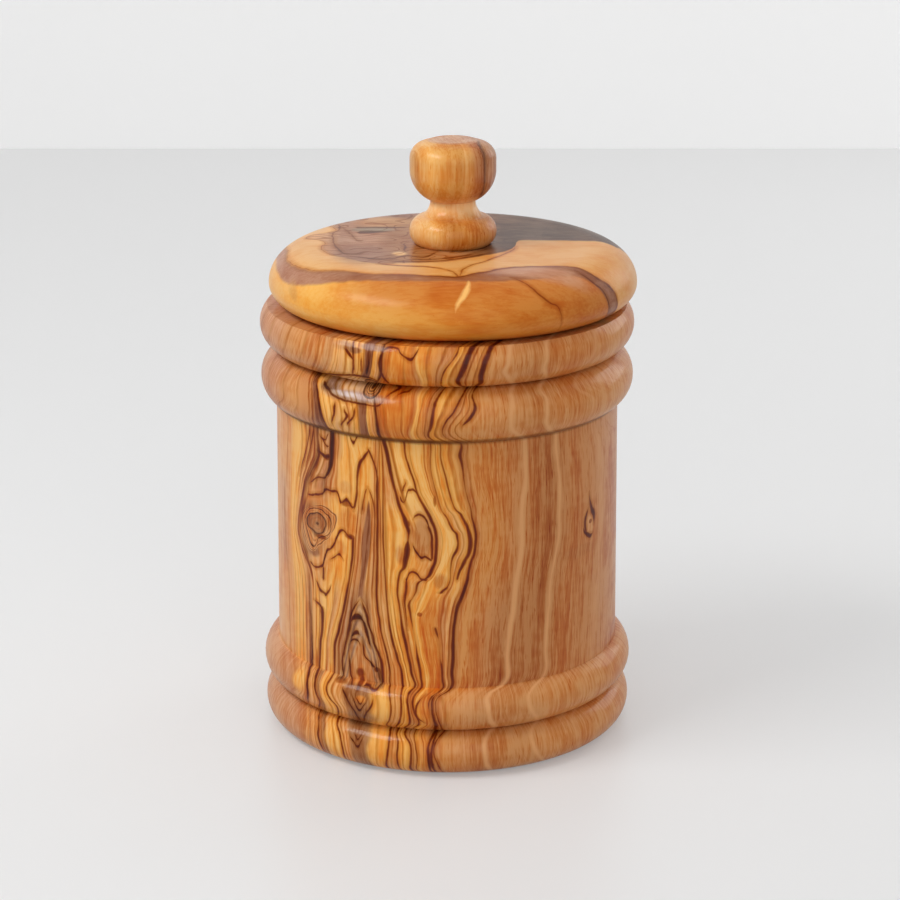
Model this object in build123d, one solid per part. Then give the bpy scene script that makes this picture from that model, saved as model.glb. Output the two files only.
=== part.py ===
from build123d import *
import os

# A lathe-turned wooden spice jar with a loose lid, in millimetres.
# The jar stands on z = 0, and its turning axis is the Z axis.

# Jar wall
wall_radius = 41.9            # outside of the wall, just above the foot beads
wall_taper = 0.5              # how much narrower the wall is under the collar beads
wall_height = 60.1            # plain wall between the foot beads and the collar beads

# Foot beads: each is one arc that swells out from the straight line between its two edges
base_inset = 1.4              # the edge that the jar stands on, inside the wall's radius
foot_bead_height = 10.9
foot_bead_swell = 4.6
foot_groove_depth = 1.2       # the groove between the two foot beads, below the wall's surface
ankle_bead_height = 11.0
ankle_bead_swell = 4.1

# Collar beads, under the rim
collar_bead_height = 13.1
collar_bead_swell = 5.1
collar_groove_depth = 3.5     # the groove between the two collar beads
rim_bead_height = 10.2
rim_bead_swell = 4.1
rim_overhang = 1.4            # outer edge of the rim's flat top, outside the wall's radius

# Hollow of the jar
groove_wall = 4.4             # wood left between the hollow and the collar groove
floor_thickness = 9.0
floor_corner = 5.0            # rounding where the wall meets the floor inside
mouth_round = 0.8             # eased inner edge of the mouth

# Lid
lid_overhang = 0.9            # lid's edge, outside the rim's outer edge
lid_thickness = 14.3
lid_lower_round = 7.6         # width of the rounding under the lid's edge
lid_lower_rise = 5.4          # height of the lid's widest line above its underside
lid_upper_round = 11.0        # width of the rounding on top of the lid's edge
spigot_height = 7.0           # the turned step that drops into the mouth
spigot_clearance = 1.8        # loose fit, all round, when the lid is centred
spigot_lead = 0.8             # chamfer that finds the mouth
lid_side_gap = 0.4            # what is left of that clearance on the side the lid has slid to

# Knob, from the lid up
knob_foot_radius = 8.8        # flat underside that sits on the lid
knob_foot_height = 7.0
knob_foot_swell = 2.45
neck_flare = 1.7              # how much wider the neck is where it meets the foot bead
neck_radius = 5.4
neck_height = 3.6
neck_hollow = 0.45
ball_swell = 4.93             # ball's widest radius, outside the neck
ball_lower_height = 7.4       # underside of the ball, up to its widest line
ball_side_height = 5.6        # widest line up to where side and shoulder lines would meet
ball_shoulder_drop = 1.5      # shoulder's fall from the flat top out to the side
ball_shoulder_round = 4.0
ball_flat_radius = 5.3
tenon_radius = 3.8
tenon_length = 11.0
tenon_glue_gap = 0.1          # glue line round the tenon
tenon_end_gap = 0.5           # room for glue under the tenon

# Places that follow from those sizes, as (radius, height)
base_edge = (wall_radius - base_inset, 0)
foot_groove = (wall_radius - foot_groove_depth, foot_bead_height)
wall_foot = (wall_radius, foot_groove[1] + ankle_bead_height)
wall_head = (wall_radius - wall_taper, wall_foot[1] + wall_height)
collar_groove = (wall_radius - collar_groove_depth, wall_head[1] + collar_bead_height)
rim_edge = (wall_radius + rim_overhang, collar_groove[1] + rim_bead_height)
rim_height = rim_edge[1]
bore_radius = collar_groove[0] - groove_wall

lid_shift = spigot_clearance - lid_side_gap      # the loose lid lies this far towards +X
lid_radius = rim_edge[0] + lid_overhang
lid_top = rim_height + lid_thickness
spigot_radius = bore_radius - spigot_clearance

neck_foot = (neck_radius + neck_flare, knob_foot_height)
neck_head = (neck_radius, neck_foot[1] + neck_height)
ball_belly = (neck_radius + ball_swell, neck_head[1] + ball_lower_height)
ball_side_top = (ball_belly[0], ball_belly[1] + ball_side_height)
ball_flat_edge = (ball_flat_radius, ball_side_top[1] + ball_shoulder_drop)


def turned(outline):
    """Turn a half outline, open at the axis, into a solid about the Z axis."""
    bottom, top = outline[0] @ 0, outline[-1] @ 1
    ends = [Line((0, bottom.Y), bottom), Line(top, (0, top.Y)), Line((0, top.Y), (0, bottom.Y))]
    return revolve(Plane.XZ * make_face(Curve() + outline + ends), Axis.Z)


def bead(lower, upper, swell):
    """One arc between two edges of the outline, standing out by swell, or in if it is negative."""
    return SagittaArc(lower, upper, -swell)


def standing_cylinder(radius, height, bottom):
    """A cylinder on the Z axis that stands at the height bottom."""
    return Pos(0, 0, bottom) * Cylinder(radius, height, align=(Align.CENTER, Align.CENTER, Align.MIN))


def jar_body():
    """The hollow jar: two foot beads, a plain wall and two collar beads."""
    jar = turned([
        bead(base_edge, foot_groove, foot_bead_swell),
        bead(foot_groove, wall_foot, ankle_bead_swell),
        Line(wall_foot, wall_head),
        bead(wall_head, collar_groove, collar_bead_swell),
        bead(collar_groove, rim_edge, rim_bead_swell),
    ])
    hollow = standing_cylinder(bore_radius, rim_height, floor_thickness)
    jar -= fillet(hollow.edges().sort_by(Axis.Z)[0], floor_corner)
    mouth = jar.edges().filter_by_position(Axis.Z, rim_height, rim_height).sort_by(SortBy.LENGTH)[0]
    return fillet(mouth, mouth_round)


def lid():
    """A thick disc with a rounded edge, a spigot below and a blind hole for the knob's tenon."""
    widest = rim_height + lid_lower_rise
    lower_centre = (lid_radius - lid_lower_round, widest)
    upper_centre = (lid_radius - lid_upper_round, widest)
    disc = turned([
        EllipticalCenterArc(lower_centre, lid_lower_round, lid_lower_rise, start_angle=-90),
        EllipticalCenterArc(upper_centre, lid_upper_round, lid_top - widest),
    ])
    spigot = standing_cylinder(spigot_radius, spigot_height, rim_height - spigot_height)
    spigot = chamfer(spigot.edges().sort_by(Axis.Z)[0], spigot_lead)
    hole_depth = tenon_length + tenon_end_gap
    hole = standing_cylinder(tenon_radius + tenon_glue_gap, hole_depth, lid_top - hole_depth)
    return Pos(lid_shift, 0, 0) * (disc + spigot - hole)


def knob():
    """A foot bead, a hollow neck and a flat-topped ball in one piece, on a round tenon."""
    grip = turned([
        bead((knob_foot_radius, 0), neck_foot, knob_foot_swell),
        bead(neck_foot, neck_head, -neck_hollow),
        TangentArc(ball_belly, neck_head, tangent=(0, -1)),
        FilletPolyline(ball_belly, ball_side_top, ball_flat_edge, radius=ball_shoulder_round),
    ])
    tenon = standing_cylinder(tenon_radius, tenon_length, -tenon_length)
    return Pos(lid_shift, 0, lid_top) * (grip + tenon)


parts = {"jar_body": jar_body(), "lid": lid(), "knob": knob()}
os.makedirs("parts", exist_ok=True)
for name, solid in parts.items():
    export_step(solid, f"parts/{name}.step")
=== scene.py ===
import math

import bpy
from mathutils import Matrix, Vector


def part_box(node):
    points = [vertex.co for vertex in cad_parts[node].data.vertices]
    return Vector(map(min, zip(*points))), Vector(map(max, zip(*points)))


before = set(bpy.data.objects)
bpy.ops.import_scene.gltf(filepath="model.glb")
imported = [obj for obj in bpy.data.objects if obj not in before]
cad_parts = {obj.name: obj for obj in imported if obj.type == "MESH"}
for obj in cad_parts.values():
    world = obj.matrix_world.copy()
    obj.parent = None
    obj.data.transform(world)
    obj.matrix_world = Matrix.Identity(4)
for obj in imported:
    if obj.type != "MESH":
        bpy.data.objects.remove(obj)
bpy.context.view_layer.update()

# Camera: lengths in metres, fitted to the jar's outline in the photograph
photo_side = 900                 # pixels
focal_pixels = 2733
sensor_width = 36.0              # millimetres
camera_distance = 0.640          # level distance from the jar's axis
camera_height = 0.2651
camera_offset = 0.00070          # the jar stands this far left of the camera's axis
camera_pitch = 0.2992            # radians, downwards

# Growth layers of the jar's block, in millimetres
front_radius = 42.0              # radius at which lengths round the jar's front are measured
pith_distance = 150.0            # from the jar's axis to the tree's centre
pith_facing = 80.0               # degrees round to the right of the front where layers lie flat

# Sizes of the finished pieces, in millimetres
rim_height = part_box("jar_body")[1].z * 1000.0
lid_low, lid_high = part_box("lid")
lid_top = lid_high.z * 1000.0
lid_axis = (lid_low.x + lid_high.x) / 2 * 1000.0     # the loose lid lies a little to the right
knob_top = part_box("knob")[1].z * 1000.0
neck_height = 129.0              # the knob's narrowest place

# Where the look changes, in millimetres up the jar, and out through its wall
foot_end = (21.5, 22.1)
collar_start = (81.6, 82.6)
outside_start = (34.5, 36.0)

# Light: place and size in metres, and power in watts; all lamps aim at the same point of the jar
lamp_aim = (0.0, 0.0, 0.08)
lamps = [
    ("key", (-0.48, -0.26, 0.66), (0.44, 0.22), 2.9),
    ("overhead", (0.0, 0.1, 1.4), (1.8, 1.8), 1.3),
    ("right", (0.62, 0.5, 0.35), (0.4, 0.4), 1.0),
    ("front", (0.15, -1.4, 0.6), (1.2, 1.2), 4.6),
]
world_strength = 0.48
backdrop_lift = 0.24             # glow that the camera and reflections see, and that lights nothing

# Finish of the oiled wood
wood_ior = 1.2
warm_sheen = (1.0, 0.7, 0.4)
grain_relief = 0.0002            # metres
soaked_ink = (0.33, 0.13, 0.02)  # what the dark growth lines let through, as linear light


class Val:
    """One value inside a node tree, so that fields are written as plain sums."""

    def __init__(self, tree, socket):
        self.tree, self.socket = tree, socket

    def math(self, operation, *others, clamp=False):
        return math_node(self.tree, operation, self, *others, clamp=clamp)

    def __add__(self, other):
        return self.math("ADD", other)

    __radd__ = __add__

    def __sub__(self, other):
        return self.math("SUBTRACT", other)

    def __rsub__(self, other):
        return math_node(self.tree, "SUBTRACT", other, self)

    def __mul__(self, other):
        return self.math("MULTIPLY", other)

    __rmul__ = __mul__

    def __truediv__(self, other):
        return self.math("DIVIDE", other)

    def __pow__(self, other):
        return self.math("POWER", other)

    def size(self):
        return self.math("ABSOLUTE")

    def at_least(self, other):
        return self.math("MAXIMUM", other)

    def at_most(self, other):
        return self.math("MINIMUM", other)

    def clamped(self):
        """The value, kept between 0 and 1."""
        return self.math("ADD", 0.0, clamp=True)


def connect(value, socket):
    """Links a value, or sets a constant, on a node's input."""
    if isinstance(value, Val):
        value.tree.links.new(value.socket, socket)
    else:
        socket.default_value = value


def math_node(tree, operation, *values, clamp=False):
    """One sum of values and numbers; clamp keeps its result between 0 and 1."""
    node = tree.nodes.new("ShaderNodeMath")
    node.operation = operation
    node.use_clamp = clamp
    for socket, value in zip(node.inputs, values):
        connect(value, socket)
    return Val(tree, node.outputs[0])


def vector(x, y, z):
    """Joins three values, at least one of them a Val, into a vector."""
    tree = next(item.tree for item in (x, y, z) if isinstance(item, Val))
    node = tree.nodes.new("ShaderNodeCombineXYZ")
    for socket, value in zip(node.inputs, (x, y, z)):
        connect(value, socket)
    return Val(tree, node.outputs[0])


def step(value, low, high, start=0.0, end=1.0):
    """Smooth step from start at low to end at high."""
    node = value.tree.nodes.new("ShaderNodeMapRange")
    node.interpolation_type = "SMOOTHSTEP"
    names = ("Value", "From Min", "From Max", "To Min", "To Max")
    for name, item in zip(names, (value, low, high, start, end)):
        connect(item, node.inputs[name])
    return Val(value.tree, node.outputs[0])


def near(value, centre, reach):
    """1 where value is at centre, falling smoothly to 0 at reach from it."""
    return step((value - centre).size(), 0.0, reach, 1.0, 0.0)


def curve(value, points, handles="AUTO"):
    """A curve through (input, output) points and level beyond them; "VECTOR" handles make it straight."""
    points = sorted(points)
    node = value.tree.nodes.new("ShaderNodeFloatCurve")
    node.mapping.use_clip = False
    node.mapping.extend = "HORIZONTAL"
    line = node.mapping.curves[0]
    line.points[0].location, line.points[1].location = points[0], points[-1]
    for point in points[1:-1]:
        line.points.new(*point)
    for point in line.points:
        point.handle_type = handles
    node.mapping.update()
    connect(value, node.inputs["Value"])
    return Val(value.tree, node.outputs[0])


def ramp(value, stops):
    """Colour, or grey where the stops hold numbers, by (place, colour) stops."""
    low, high = stops[0][0], stops[-1][0]
    node = value.tree.nodes.new("ShaderNodeValToRGB")
    elements = node.color_ramp.elements
    while len(elements) > 1:
        elements.remove(elements[-1])
    for index, (place, colour) in enumerate(stops):
        element = elements[0] if index == 0 else elements.new(1.0)
        element.position = (place - low) / (high - low)
        element.color = (*colour, 1.0) if isinstance(colour, tuple) else (colour, colour, colour, 1.0)
    connect((value - low) / (high - low), node.inputs[0])
    return Val(value.tree, node.outputs[0])


def noise(place, detail=2.0, roughness=0.5, distortion=0.0):
    """Noise between about -1 and 1 over a place in space."""
    node = place.tree.nodes.new("ShaderNodeTexNoise")
    node.inputs["Scale"].default_value = 1.0
    node.inputs["Detail"].default_value = detail
    node.inputs["Roughness"].default_value = roughness
    node.inputs["Distortion"].default_value = distortion
    connect(place, node.inputs["Vector"])
    return (Val(place.tree, node.outputs[0]) - 0.5) * 2.0


def blend(share, first, second, mode="MIX"):
    """Mixes two colours; share is a value or a number."""
    tree = next(item.tree for item in (share, first, second) if isinstance(item, Val))
    node = tree.nodes.new("ShaderNodeMix")
    node.data_type = "RGBA"
    node.blend_type = mode
    connect(share, node.inputs[0])
    connect(first if isinstance(first, Val) else (*first, 1.0), node.inputs[6])
    connect(second if isinstance(second, Val) else (*second, 1.0), node.inputs[7])
    return Val(tree, node.outputs[2])


def gamma(tree, colour, power):
    """A colour raised to a power."""
    node = tree.nodes.new("ShaderNodeGamma")
    connect(colour, node.inputs["Color"])
    connect(power, node.inputs["Gamma"])
    return Val(tree, node.outputs[0])


def lined(colour, amount):
    """A colour with dark matter soaked into it: the more there is, the deeper and warmer it gets."""
    return blend(1.0, colour, gamma(colour.tree, (*soaked_ink, 1.0), amount), "MULTIPLY")


def darkened(colour, strength):
    """A colour made deeper and richer where strength is above nought, and lighter below it."""
    return gamma(colour.tree, colour, (strength + 1.0).at_least(0.9))


def linear(display):
    """One display value, 0 to 255, as linear light by the sRGB curve."""
    share = display / 255
    return share / 12.92 if display <= 10 else ((share + 0.055) / 1.055) ** 2.4


def srgb(red, green, blue):
    """A colour given in display values, as linear light."""
    return linear(red), linear(green), linear(blue)


def new_material(name):
    """A new material, its node tree and its shader."""
    material = bpy.data.materials.new(name)
    material.use_nodes = True
    tree = material.node_tree
    return material, tree, tree.nodes["Principled BSDF"]


def place_in_mm(tree):
    """The point's own place on the resting part, as x, y and z in millimetres."""
    coordinates = tree.nodes.new("ShaderNodeTexCoord")
    split = tree.nodes.new("ShaderNodeSeparateXYZ")
    tree.links.new(coordinates.outputs["Object"], split.inputs[0])
    return [Val(tree, output) * 1000.0 for output in split.outputs]


def strongest(masks):
    """The largest of several values."""
    result = masks[0]
    for mask in masks[1:]:
        result = result.at_least(mask)
    return result


def line(distance, half_width, softness=0.3):
    """Strength of a line at a distance from its middle; a half width below nought hides it."""
    return ((half_width - distance) / softness).clamped()


def in_group(name, build, *inputs):
    """Builds part of a material in a node group of its own, far faster than in one large tree."""
    kinds = {"VALUE": "NodeSocketFloat", "VECTOR": "NodeSocketVector", "RGBA": "NodeSocketColor"}
    group = bpy.data.node_groups.new(name, "ShaderNodeTree")
    start, end = group.nodes.new("NodeGroupInput"), group.nodes.new("NodeGroupOutput")
    for index, value in enumerate(inputs):
        group.interface.new_socket(f"in {index}", in_out="INPUT", socket_type=kinds[value.socket.type])
    results = build(*[Val(group, start.outputs[index]) for index in range(len(inputs))])
    for index, result in enumerate(results):
        group.interface.new_socket(f"out {index}", in_out="OUTPUT", socket_type=kinds[result.socket.type])
        connect(result, end.inputs[index])
    node = inputs[0].tree.nodes.new("ShaderNodeGroup")
    node.node_tree = group
    for value, socket in zip(inputs, node.inputs):
        connect(value, socket)
    return [Val(node.id_data, socket) for socket in node.outputs]


def patch(across, height, centre, reach, edge=0.4):
    """A soft oval; edge is the share of its reach over which it fades."""
    off_across = (across - centre[0]) / reach[0]
    off_height = (height - centre[1]) / reach[1]
    off = (off_across * off_across + off_height * off_height) ** 0.5
    return step(off, 1.0 - edge, 1.0 + edge, 1.0, 0.0)


def finish(shader, colour, roughness, fibres, relief, coat, coat_roughness=0.13):
    """An oiled wood: its colour, a warm sheen with a light coat over it, and the relief of its fibres."""
    connect(colour, shader.inputs["Base Color"])
    connect(roughness, shader.inputs["Roughness"])
    shader.inputs["IOR"].default_value = wood_ior
    shader.inputs["Specular Tint"].default_value = (*warm_sheen, 1.0)
    shader.inputs["Coat Weight"].default_value = coat
    shader.inputs["Coat Roughness"].default_value = coat_roughness
    bump = fibres.tree.nodes.new("ShaderNodeBump")
    bump.inputs["Strength"].default_value = relief
    bump.inputs["Distance"].default_value = grain_relief
    connect(fibres, bump.inputs["Height"])
    fibres.tree.links.new(bump.outputs[0], shader.inputs["Normal"])


# Outline of the jar as (height, radius), to place grain features on its surface
jar_outline = [
    (0, 40.5), (2.5, 43.7), (5.5, 45.2), (8.3, 43.7), (10.9, 40.7), (13.5, 44.1), (16.4, 45.4),
    (19.4, 44.4), (21.9, 41.9), (82, 41.4), (84.5, 43.9), (87, 45.2), (89.7, 45.0), (93, 42.2),
    (95.1, 38.4), (96.5, 42.2), (98.4, 44.6), (101.5, 45.4), (104, 44.6), (105.3, 43.3),
]

# Guides of the jar's grain: the layer number that each carries, and how that layer runs up the
# front as (millimetres round from the front to the right, height)
guides = {
    "pale edge": (5.0, [
        (-38, 2), (-36.3, 5.5), (-37, 8.3), (-41, 10.9), (-42, 13.5), (-38.5, 16.4), (-39.8, 19.4),
        (-44.5, 21.9), (-44.8, 25), (-45.1, 40), (-46.6, 50), (-47.2, 58), (-46.6, 66), (-46, 74),
        (-45.6, 80), (-46.5, 82), (-46, 84.5), (-41.5, 88), (-43, 91), (-47, 95), (-44, 97), (-40, 101.5),
        (-40, 105)]),
    "band": (13.5, [
        (-34.5, 2), (-33.8, 5.5), (-35, 8.3), (-38, 10.9), (-35.2, 13.5), (-33.9, 16.4), (-34.9, 19.4),
        (-36.2, 21.9), (-36.2, 30), (-36.4, 40), (-36.5, 42.5), (-36.8, 44.4), (-37.4, 46), (-38.6, 48),
        (-40, 50), (-41.3, 52), (-42.2, 53.6), (-42.5, 55), (-42.3, 56.5), (-42, 58), (-41.3, 60),
        (-40.2, 63), (-39.2, 66.1), (-38.4, 68.2), (-37.3, 70), (-36, 72), (-35, 73.6), (-34.3, 75.2),
        (-34.1, 77), (-34.3, 82), (-33, 84.5), (-32, 87.5), (-33, 91), (-36.5, 94.8), (-33, 96.5),
        (-30.5, 98.4), (-29, 101.5), (-29.5, 105)]),
    "left line": (16.8, [
        (-31.5, 1), (-31.4, 4.2), (-32, 6.5), (-32.5, 8.5), (-35, 10.9), (-32.5, 13), (-31.2, 15),
        (-32, 17), (-33, 19), (-34.4, 21.9), (-34.2, 25), (-33.9, 28.5), (-33.4, 31), (-33.2, 34),
        (-33.2, 36), (-33.2, 45), (-32, 50), (-31.5, 60), (-31.9, 70), (-31, 71.3), (-30.3, 72.7),
        (-29.8, 74.7), (-29.6, 78), (-29.4, 82), (-29.2, 84.5), (-29.6, 88), (-31, 91), (-34.5, 94.8),
        (-30, 96.5), (-27.5, 98.4), (-26, 101.5), (-26.5, 105)]),
    "olive line": (21.5, [
        (-29, 1), (-28.4, 5.5), (-29.5, 8.3), (-31.5, 10.9), (-29, 14), (-30, 17), (-31, 19.5),
        (-31.4, 22.3), (-31.1, 25), (-31, 28.5), (-30.6, 31.6), (-29.8, 34.3), (-29, 36.8), (-28.3, 39),
        (-27.5, 43), (-26.4, 48), (-26.1, 52), (-26, 62), (-26.2, 70), (-26.7, 75.2), (-26.1, 79),
        (-26.1, 82), (-25.8, 84.5), (-25.3, 88), (-26.3, 91), (-30, 94.8), (-26, 97), (-24.5, 99),
        (-24, 101.5), (-24.5, 105)]),
    "long line": (23.8, [
        (-24.8, 2), (-24.7, 5), (-25.6, 7.7), (-28.5, 10.9), (-26.5, 13), (-26, 15), (-27.9, 17),
        (-29.3, 19.2), (-29.2, 21.5), (-29.1, 26.8), (-29.1, 29), (-28.6, 30.9), (-27.8, 33),
        (-27.2, 35.4), (-26.7, 37.1), (-25.9, 40), (-25.1, 43.7), (-24.6, 46.1), (-24.1, 48.9),
        (-23.6, 52.5), (-23.4, 56), (-22.9, 60), (-22.4, 65.8), (-22.2, 69.2), (-22, 72), (-21.9, 74),
        (-22.7, 77.8), (-23.6, 80), (-24, 82), (-22.5, 84.5), (-21.8, 88), (-23, 91), (-26, 94.8),
        (-22, 97), (-20.8, 99), (-20.6, 101.5), (-21.5, 105)]),
    "streak": (28.5, [
        (-20, 2), (-20.6, 6.2), (-21.5, 9.5), (-22.5, 10.9), (-21, 13), (-20.6, 16.4), (-21.2, 21),
        (-21.4, 30), (-21.5, 42.4), (-21.3, 45), (-20.75, 48), (-19.9, 54), (-19.3, 60), (-19, 66),
        (-18.9, 70), (-19.1, 78), (-19, 82), (-18.2, 84.5), (-18.2, 88), (-18.3, 91), (-20.3, 94.8),
        (-18.4, 97), (-16.8, 100), (-16.6, 105)]),
    "right of streak": (33.0, [
        (-13.9, 2), (-13.1, 7), (-13.3, 10), (-14, 11.5), (-12.7, 14.6), (-12.3, 17.3), (-13.1, 20.5),
        (-13.6, 21.9), (-13.7, 25.6), (-14, 27.3), (-14.4, 29.1), (-14.9, 31), (-15.4, 32.9), (-16, 35.1),
        (-16.4, 38), (-16.8, 40), (-17.1, 44.9), (-17, 47.7), (-16.8, 54.9), (-16.8, 66.9), (-16.9, 70.5),
        (-16.6, 76), (-16.3, 82), (-16.8, 84.5), (-16.8, 88), (-17.3, 91), (-18.8, 94.8), (-16.6, 97),
        (-15.5, 100), (-15.4, 105)]),
    "second right": (35.7, [
        (-10.8, 2), (-11.1, 5.5), (-10.9, 8.3), (-11.8, 10.9), (-10.4, 14.2), (-10, 17.7), (-10.5, 21.9),
        (-10.8, 24.8), (-11.1, 26.5), (-11.7, 28.2), (-12.2, 30.3), (-12.8, 32.3), (-13.4, 34.6),
        (-13.8, 36.5), (-14.2, 40), (-14.6, 44.9), (-15, 51.3), (-15.25, 58.4), (-15.4, 66.9),
        (-15.35, 72.3), (-15.5, 77.6), (-15.9, 82), (-16, 84.5), (-16, 88), (-16.5, 91), (-18, 94.8),
        (-15.9, 97), (-15, 100), (-14.9, 105)]),
    "wedge line": (38.6, [
        (-8.1, 2), (-8, 5.5), (-8.1, 8.3), (-9.8, 10.9), (-8.2, 14), (-8.4, 17.3), (-8.6, 20.8),
        (-7.5, 22.5), (-7.9, 23.9), (-8.4, 25.4), (-8.7, 27.2), (-9.2, 29.2), (-9.5, 31), (-9.9, 33),
        (-10.4, 35.1), (-10.7, 36.8), (-11, 39.3), (-11.5, 43.1), (-11.8, 44.9), (-11.7, 47),
        (-11.4, 49.1), (-11, 50.4), (-10.3, 51.3), (-9.9, 53.1), (-9.5, 54.9), (-9.3, 57.4), (-9.1, 60.5),
        (-9.5, 61.75), (-10.1, 63.7), (-10.9, 65.5), (-11.5, 67.3), (-12, 69.4), (-12.7, 71.6),
        (-13.2, 73.7), (-13.8, 76.6), (-14.5, 79.8), (-15.1, 82), (-15.2, 86), (-15.4, 89), (-15.8, 91),
        (-17, 94.8), (-15.2, 97), (-14.3, 99), (-14.2, 102), (-14, 105)]),
    "lens edge": (41.2, [
        (-6.7, 2), (-6.6, 5.5), (-6.9, 8.3), (-7.5, 11.3), (-6, 14.2), (-7, 17), (-7.3, 20.2), (-6, 22.2),
        (-6.2, 24.75), (-6.5, 26.8), (-7.1, 29.9), (-7.6, 33.9), (-8.4, 38), (-8.8, 40.6), (-9, 42.7),
        (-8.1, 44.3), (-7.5, 45.4), (-6.6, 48.2), (-5, 49), (-4.1, 50), (-3.5, 51.6), (-2.9, 53.1),
        (-2.7, 54.9), (-2.5, 57.5), (-2.5, 59.1), (-2.7, 60.7), (-3.3, 62.5), (-4, 64.1), (-4.7, 65.5),
        (-5.4, 66.75), (-6.5, 68.7), (-7.3, 71), (-7.6, 72.5), (-8.3, 74.25), (-9.3, 77), (-9.9, 79.4),
        (-10.1, 82), (-11.3, 84.5), (-11.8, 88), (-12.2, 91), (-13, 94.8), (-12.5, 97), (-11.5, 100),
        (-11, 105)]),
    "orange edge": (44.5, [
        (-5.8, 2), (-5.8, 5.5), (-6, 8.3), (-6.2, 11), (-5.2, 14.2), (-5.9, 17), (-5.9, 20.2), (-4.5, 22),
        (-4.7, 27), (-5.4, 29.2), (-5.8, 31), (-6.3, 33.9), (-6.65, 36.5), (-6.6, 40), (-5.4, 41.5),
        (-4.7, 43), (-4, 44.9), (-3.3, 46.8), (-2.9, 48.4), (-2, 50.6), (-1.1, 52), (-0.25, 54),
        (0.3, 57), (0.2, 60), (-0.9, 62.7), (-2.3, 65.5), (-3.3, 68), (-4.7, 70.5), (-5.4, 73),
        (-6.5, 76.5), (-6.9, 82), (-8, 84.5), (-7.3, 88), (-6.5, 91), (-5.6, 94.8), (-5.5, 97),
        (-6.5, 100), (-7, 105)]),
    "inner line": (47.5, [
        (-4, 2), (-4.4, 5), (-4.2, 8.5), (-5, 11), (-3.3, 14), (-3.8, 17), (-3.5, 20.2), (-0.95, 22),
        (-1.05, 24), (-1.2, 27), (-1.5, 29), (-1.7, 31), (-2, 34), (-2.6, 36.3), (-2.8, 38), (-2.5, 41),
        (-2.3, 44), (-1.1, 46.1), (-0.1, 47), (0.6, 48.3), (0.8, 52), (1.2, 54.1), (1.6, 55), (2.4, 56.3),
        (2.7, 57.7), (2.5, 59.1), (2.1, 60.4), (1.4, 61), (0.8, 62), (-0.1, 64.25), (-1, 65.5),
        (-1.6, 67), (-2.5, 70), (-3.2, 73), (-3.8, 77), (-3.8, 82), (-5.3, 84.5), (-5.4, 88), (-4.8, 91),
        (-2.4, 94.8), (-2.8, 97), (-3, 100), (-1.8, 105)]),
    "dark boundary": (50.2, [
        (-3.4, 2), (-3.9, 5), (-3.7, 8.5), (-2.4, 11), (-2.3, 13.5), (-2.6, 15), (-3.1, 18), (-2.9, 20.2),
        (-0.4, 22), (-0.5, 25), (-0.4, 30), (-0.1, 36), (0.1, 38.8), (0.5, 41.5), (1.2, 44.1),
        (2.1, 46.3), (2.3, 49), (2.7, 50.6), (3.7, 52.4), (4.4, 54), (5.1, 55.2), (5.5, 57.5),
        (5.4, 59.25), (5, 61), (4.4, 62.5), (3.7, 63.9), (3.1, 65.1), (2.1, 65.9), (1.2, 67.6),
        (0.7, 69.4), (0.2, 71.4), (-0.25, 73.7), (-1.05, 76.6), (-1.5, 78.5), (-1.7, 82), (-3.9, 84.5),
        (-3.5, 87), (-3.1, 89.5), (-2.2, 92), (0, 94.8), (-1, 97), (-0.5, 100.2), (1.8, 103.7),
        (2.6, 105.3)]),
    "second boundary": (52.0, [
        (-0.5, 1), (-1.7, 3.5), (-2.7, 7), (-2, 9.2), (-0.3, 11), (-1, 13), (-1.7, 15), (-2.3, 18),
        (-2, 20.2), (1, 22), (1.1, 26), (1.3, 28.2), (1.4, 31), (1.45, 34.6), (1.6, 37), (1.9, 38.8),
        (2.3, 41), (2.8, 43.1), (3.5, 44.9), (4.2, 46.8), (4.7, 48.4), (5, 50.6), (5.6, 53.1),
        (6.3, 54.9), (6.7, 57.5), (6.8, 60), (6.4, 62.1), (5.9, 64), (5.6, 66), (5, 68), (4.4, 70.5),
        (4, 73.4), (3.5, 77), (3, 79), (3.2, 82), (-0.5, 84.5), (-0.4, 88), (1.8, 90.6), (5.2, 94.5),
        (2.7, 97.2), (2.9, 99), (3.7, 101.8), (5.6, 105.2)]),
    "rim line": (56.0, [
        (2, 2), (0.9, 5.5), (1.2, 8.3), (3.5, 11), (1.5, 16.4), (1.8, 19.5), (5, 22), (5.6, 30),
        (6.5, 40), (8.5, 50), (10.3, 58), (9.8, 66), (8, 74), (7.5, 82), (2.9, 86), (4.8, 89), (6.4, 91),
        (7.8, 94.8), (7.9, 96.8), (7.3, 99), (7.9, 101.8), (9.6, 104.8)]),
    "light streak": (64.0, [
        (10.2, 2), (8.5, 5.8), (9, 8.5), (11.5, 10.9), (12.2, 11.5), (9.8, 15), (9.3, 18), (10.2, 20.8),
        (13.5, 22), (14.5, 29.8), (15.2, 36), (16, 41), (16.8, 48.5), (17.7, 52.7), (18.1, 61),
        (18.3, 67.3), (18.9, 70.2), (18.9, 75.6), (18.7, 81.8), (17.5, 83), (14.5, 85.6), (13.9, 88.7),
        (15.2, 91.8), (17.5, 94.7), (16.5, 96), (14.2, 97.5), (12.5, 99.5), (13, 101.5), (14, 105)]),
    "second streak": (75.0, [
        (22.9, 2.7), (20.2, 5.8), (20.6, 8.5), (23.5, 10.9), (22.9, 12.3), (19.8, 15.4), (18.9, 17.7),
        (20, 20.2), (24.3, 22.3), (24.8, 29.8), (25.4, 36), (26, 42.3), (26.6, 47.7), (27.9, 52.7),
        (28.7, 56.8), (28.8, 61), (28.8, 69.3), (28.3, 73.5), (27.7, 77.7), (27.5, 81.8), (22.9, 85.6),
        (22.5, 88.7), (23.7, 91.4), (26, 94.7), (24.5, 96.5), (21.8, 99.5), (21.8, 101.4), (23, 105)]),
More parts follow.
